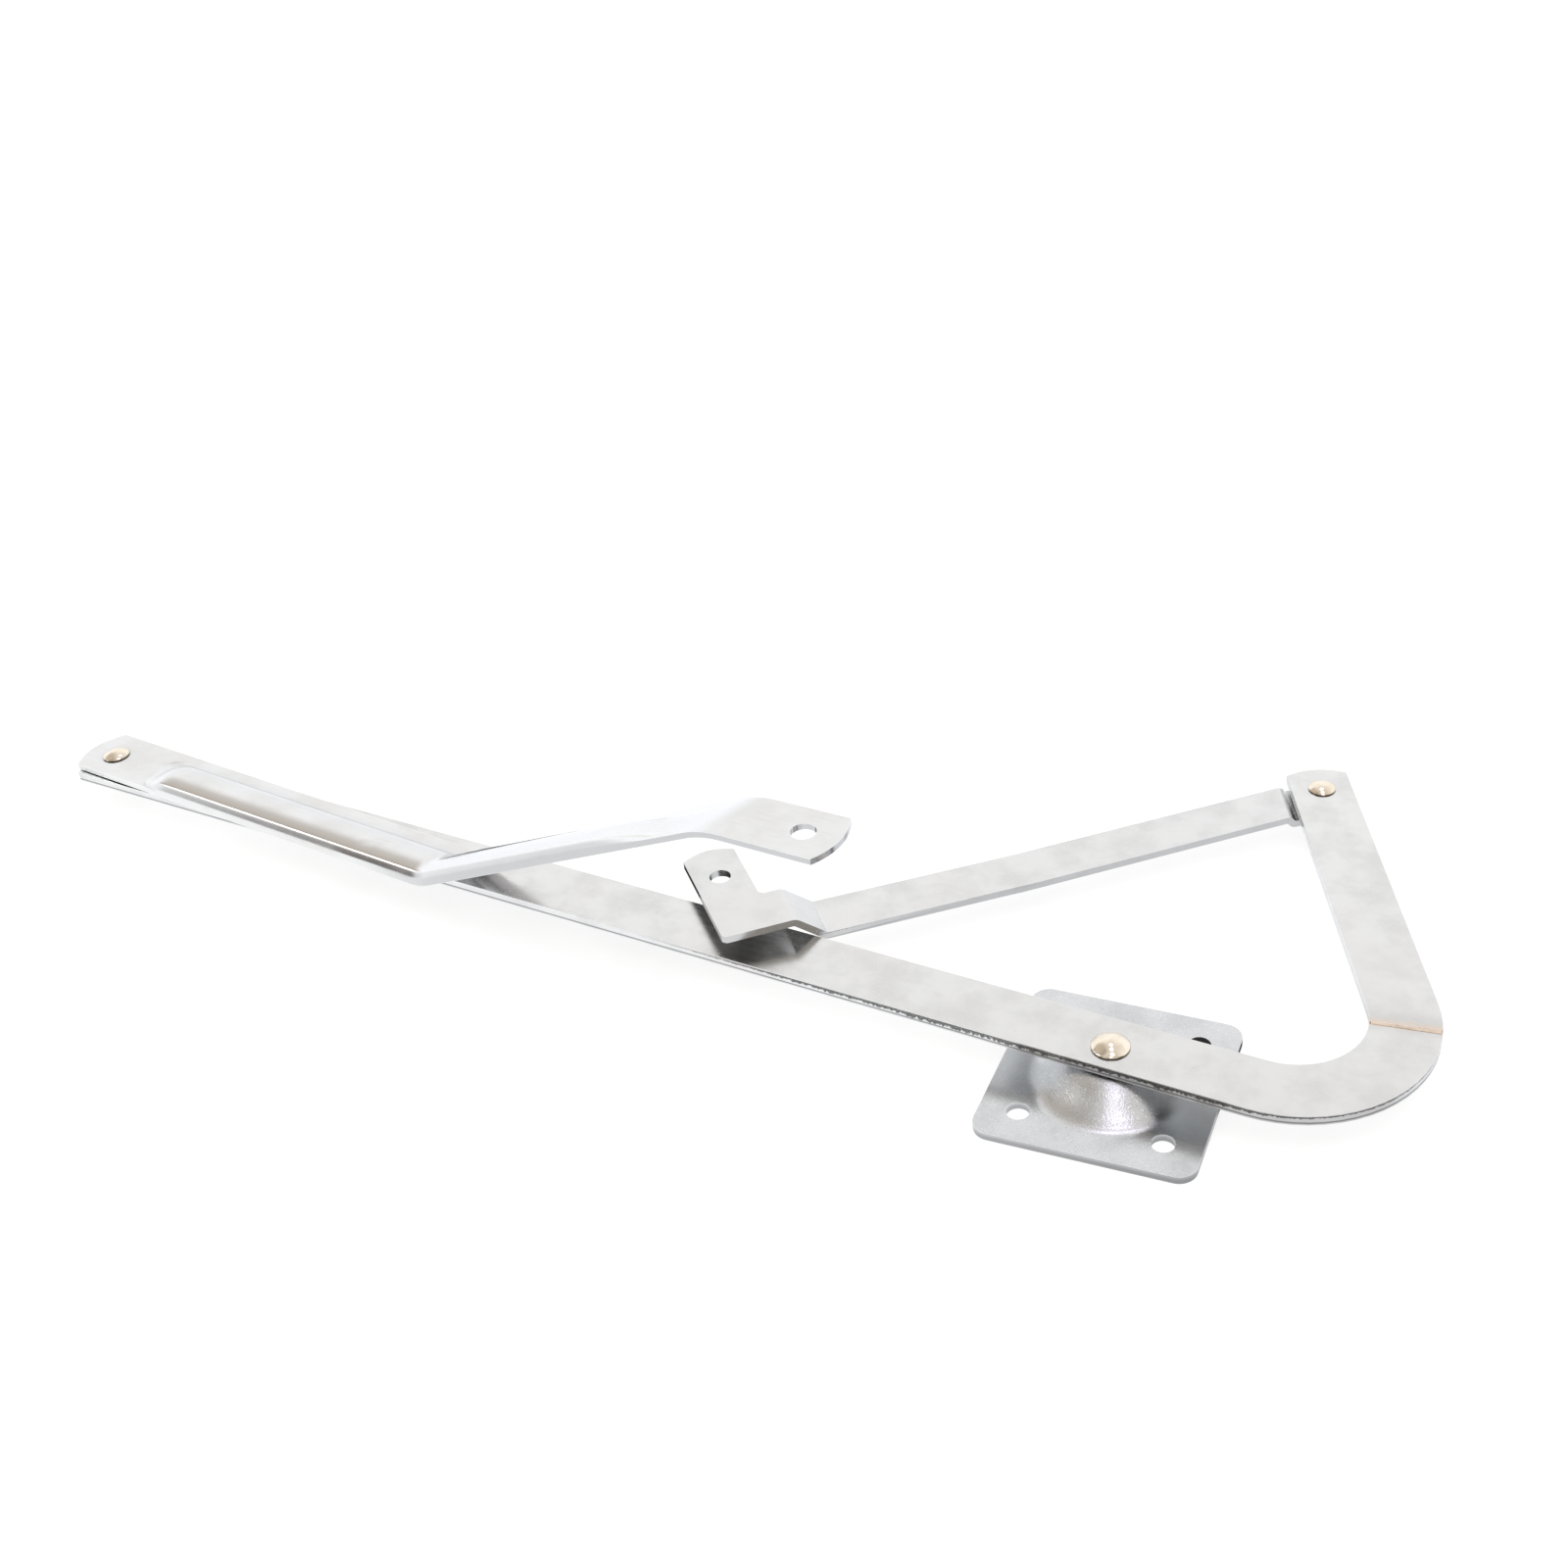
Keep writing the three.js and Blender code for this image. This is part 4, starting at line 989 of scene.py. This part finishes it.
def build_floor():
    """A pale matt floor, lit from above by a wide soft lamp that the metal doesn't mirror."""
    bpy.ops.mesh.primitive_plane_add(size=FLOOR_SIZE, location=(0, 0, 0))
    floor = bpy.context.object
    floor.name = "floor"
    material, tree = new_material("floor_matt")
    here = place(tree)
    speckle = noise(tree, here, 40, 3, 0.5)
    tone = blend_colour(tree, span(tree, speckle, 0.3, 0.7), (0.93, 0.93, 0.93), (0.915, 0.915, 0.915))
    dimmed = blend_colour(tree, FLOOR_DIMMING, tone, (0.0, 0.0, 0.0))
    matt = add_node(tree, "ShaderNodeBsdfDiffuse", {"Color": dimmed})
    glow = add_node(tree, "ShaderNodeEmission", {"Color": tone, "Strength": FLOOR_GLOW})
    both = add_node(tree, "ShaderNodeAddShader", {0: matt.outputs[0], 1: glow.outputs[0]})
    # Mirrors see a painted reflection card in place of the floor, brighter or dimmer by place, with painted
    # shade patches.
    mirrored = add_node(tree, "ShaderNodeLightPath").outputs["Is Glossy Ray"]
    card = add_node(tree, "ShaderNodeEmission", {"Color": floor_in_metal(tree, here)})
    seen = add_node(tree, "ShaderNodeMixShader", {0: mirrored, 1: both.outputs[0], 2: card.outputs[0]})
    add_node(tree, "ShaderNodeOutputMaterial", {"Surface": seen.outputs[0]})
    floor.data.materials.append(material)


def build_lamp():
    lamp = bpy.data.objects.new("overhead", bpy.data.lights.new("overhead", "AREA"))
    bpy.context.scene.collection.objects.link(lamp)
    lamp.data.shape = "DISK"
    lamp.data.size = LAMP_SIZE
    lamp.data.energy = LAMP_WATTS
    lamp.location = LAMP_PLACE
    lamp.visible_glossy = False
    lamp.visible_camera = False


# ---- Build -------------------------------------------------------------------

for node in ("main_bar", "hook_arm"):
    refined(node, "bar", MATERIALS["bar"], BAR_EDGE)
refined("weld_seam", "bar", MATERIALS["weld"], WELD_EDGE, 2)
refined("stay_link", "link", MATERIALS["link"], LINK_EDGE)
for pivot, body in (("pivot", "base"), ("link", "bar"), ("arm", "bar")):
    refined(f"{pivot}_spacer", body, MATERIALS["washer"], SPACER_EDGE, 2)
    refined(f"{pivot}_tail_washer", body, MATERIALS["washer"], TAIL_WASHER_EDGE, 2)
build_base_plate()
build_channel_arm()
build_rivet("pivot_rivet", "base", **LARGE_RIVET)
build_rivet("link_rivet", "bar", **SMALL_RIVET)
build_rivet("arm_rivet", "bar", **SMALL_RIVET)

build_floor()
build_lamp()
build_world()
build_camera()
bpy.context.scene.view_settings.view_transform = "Standard"
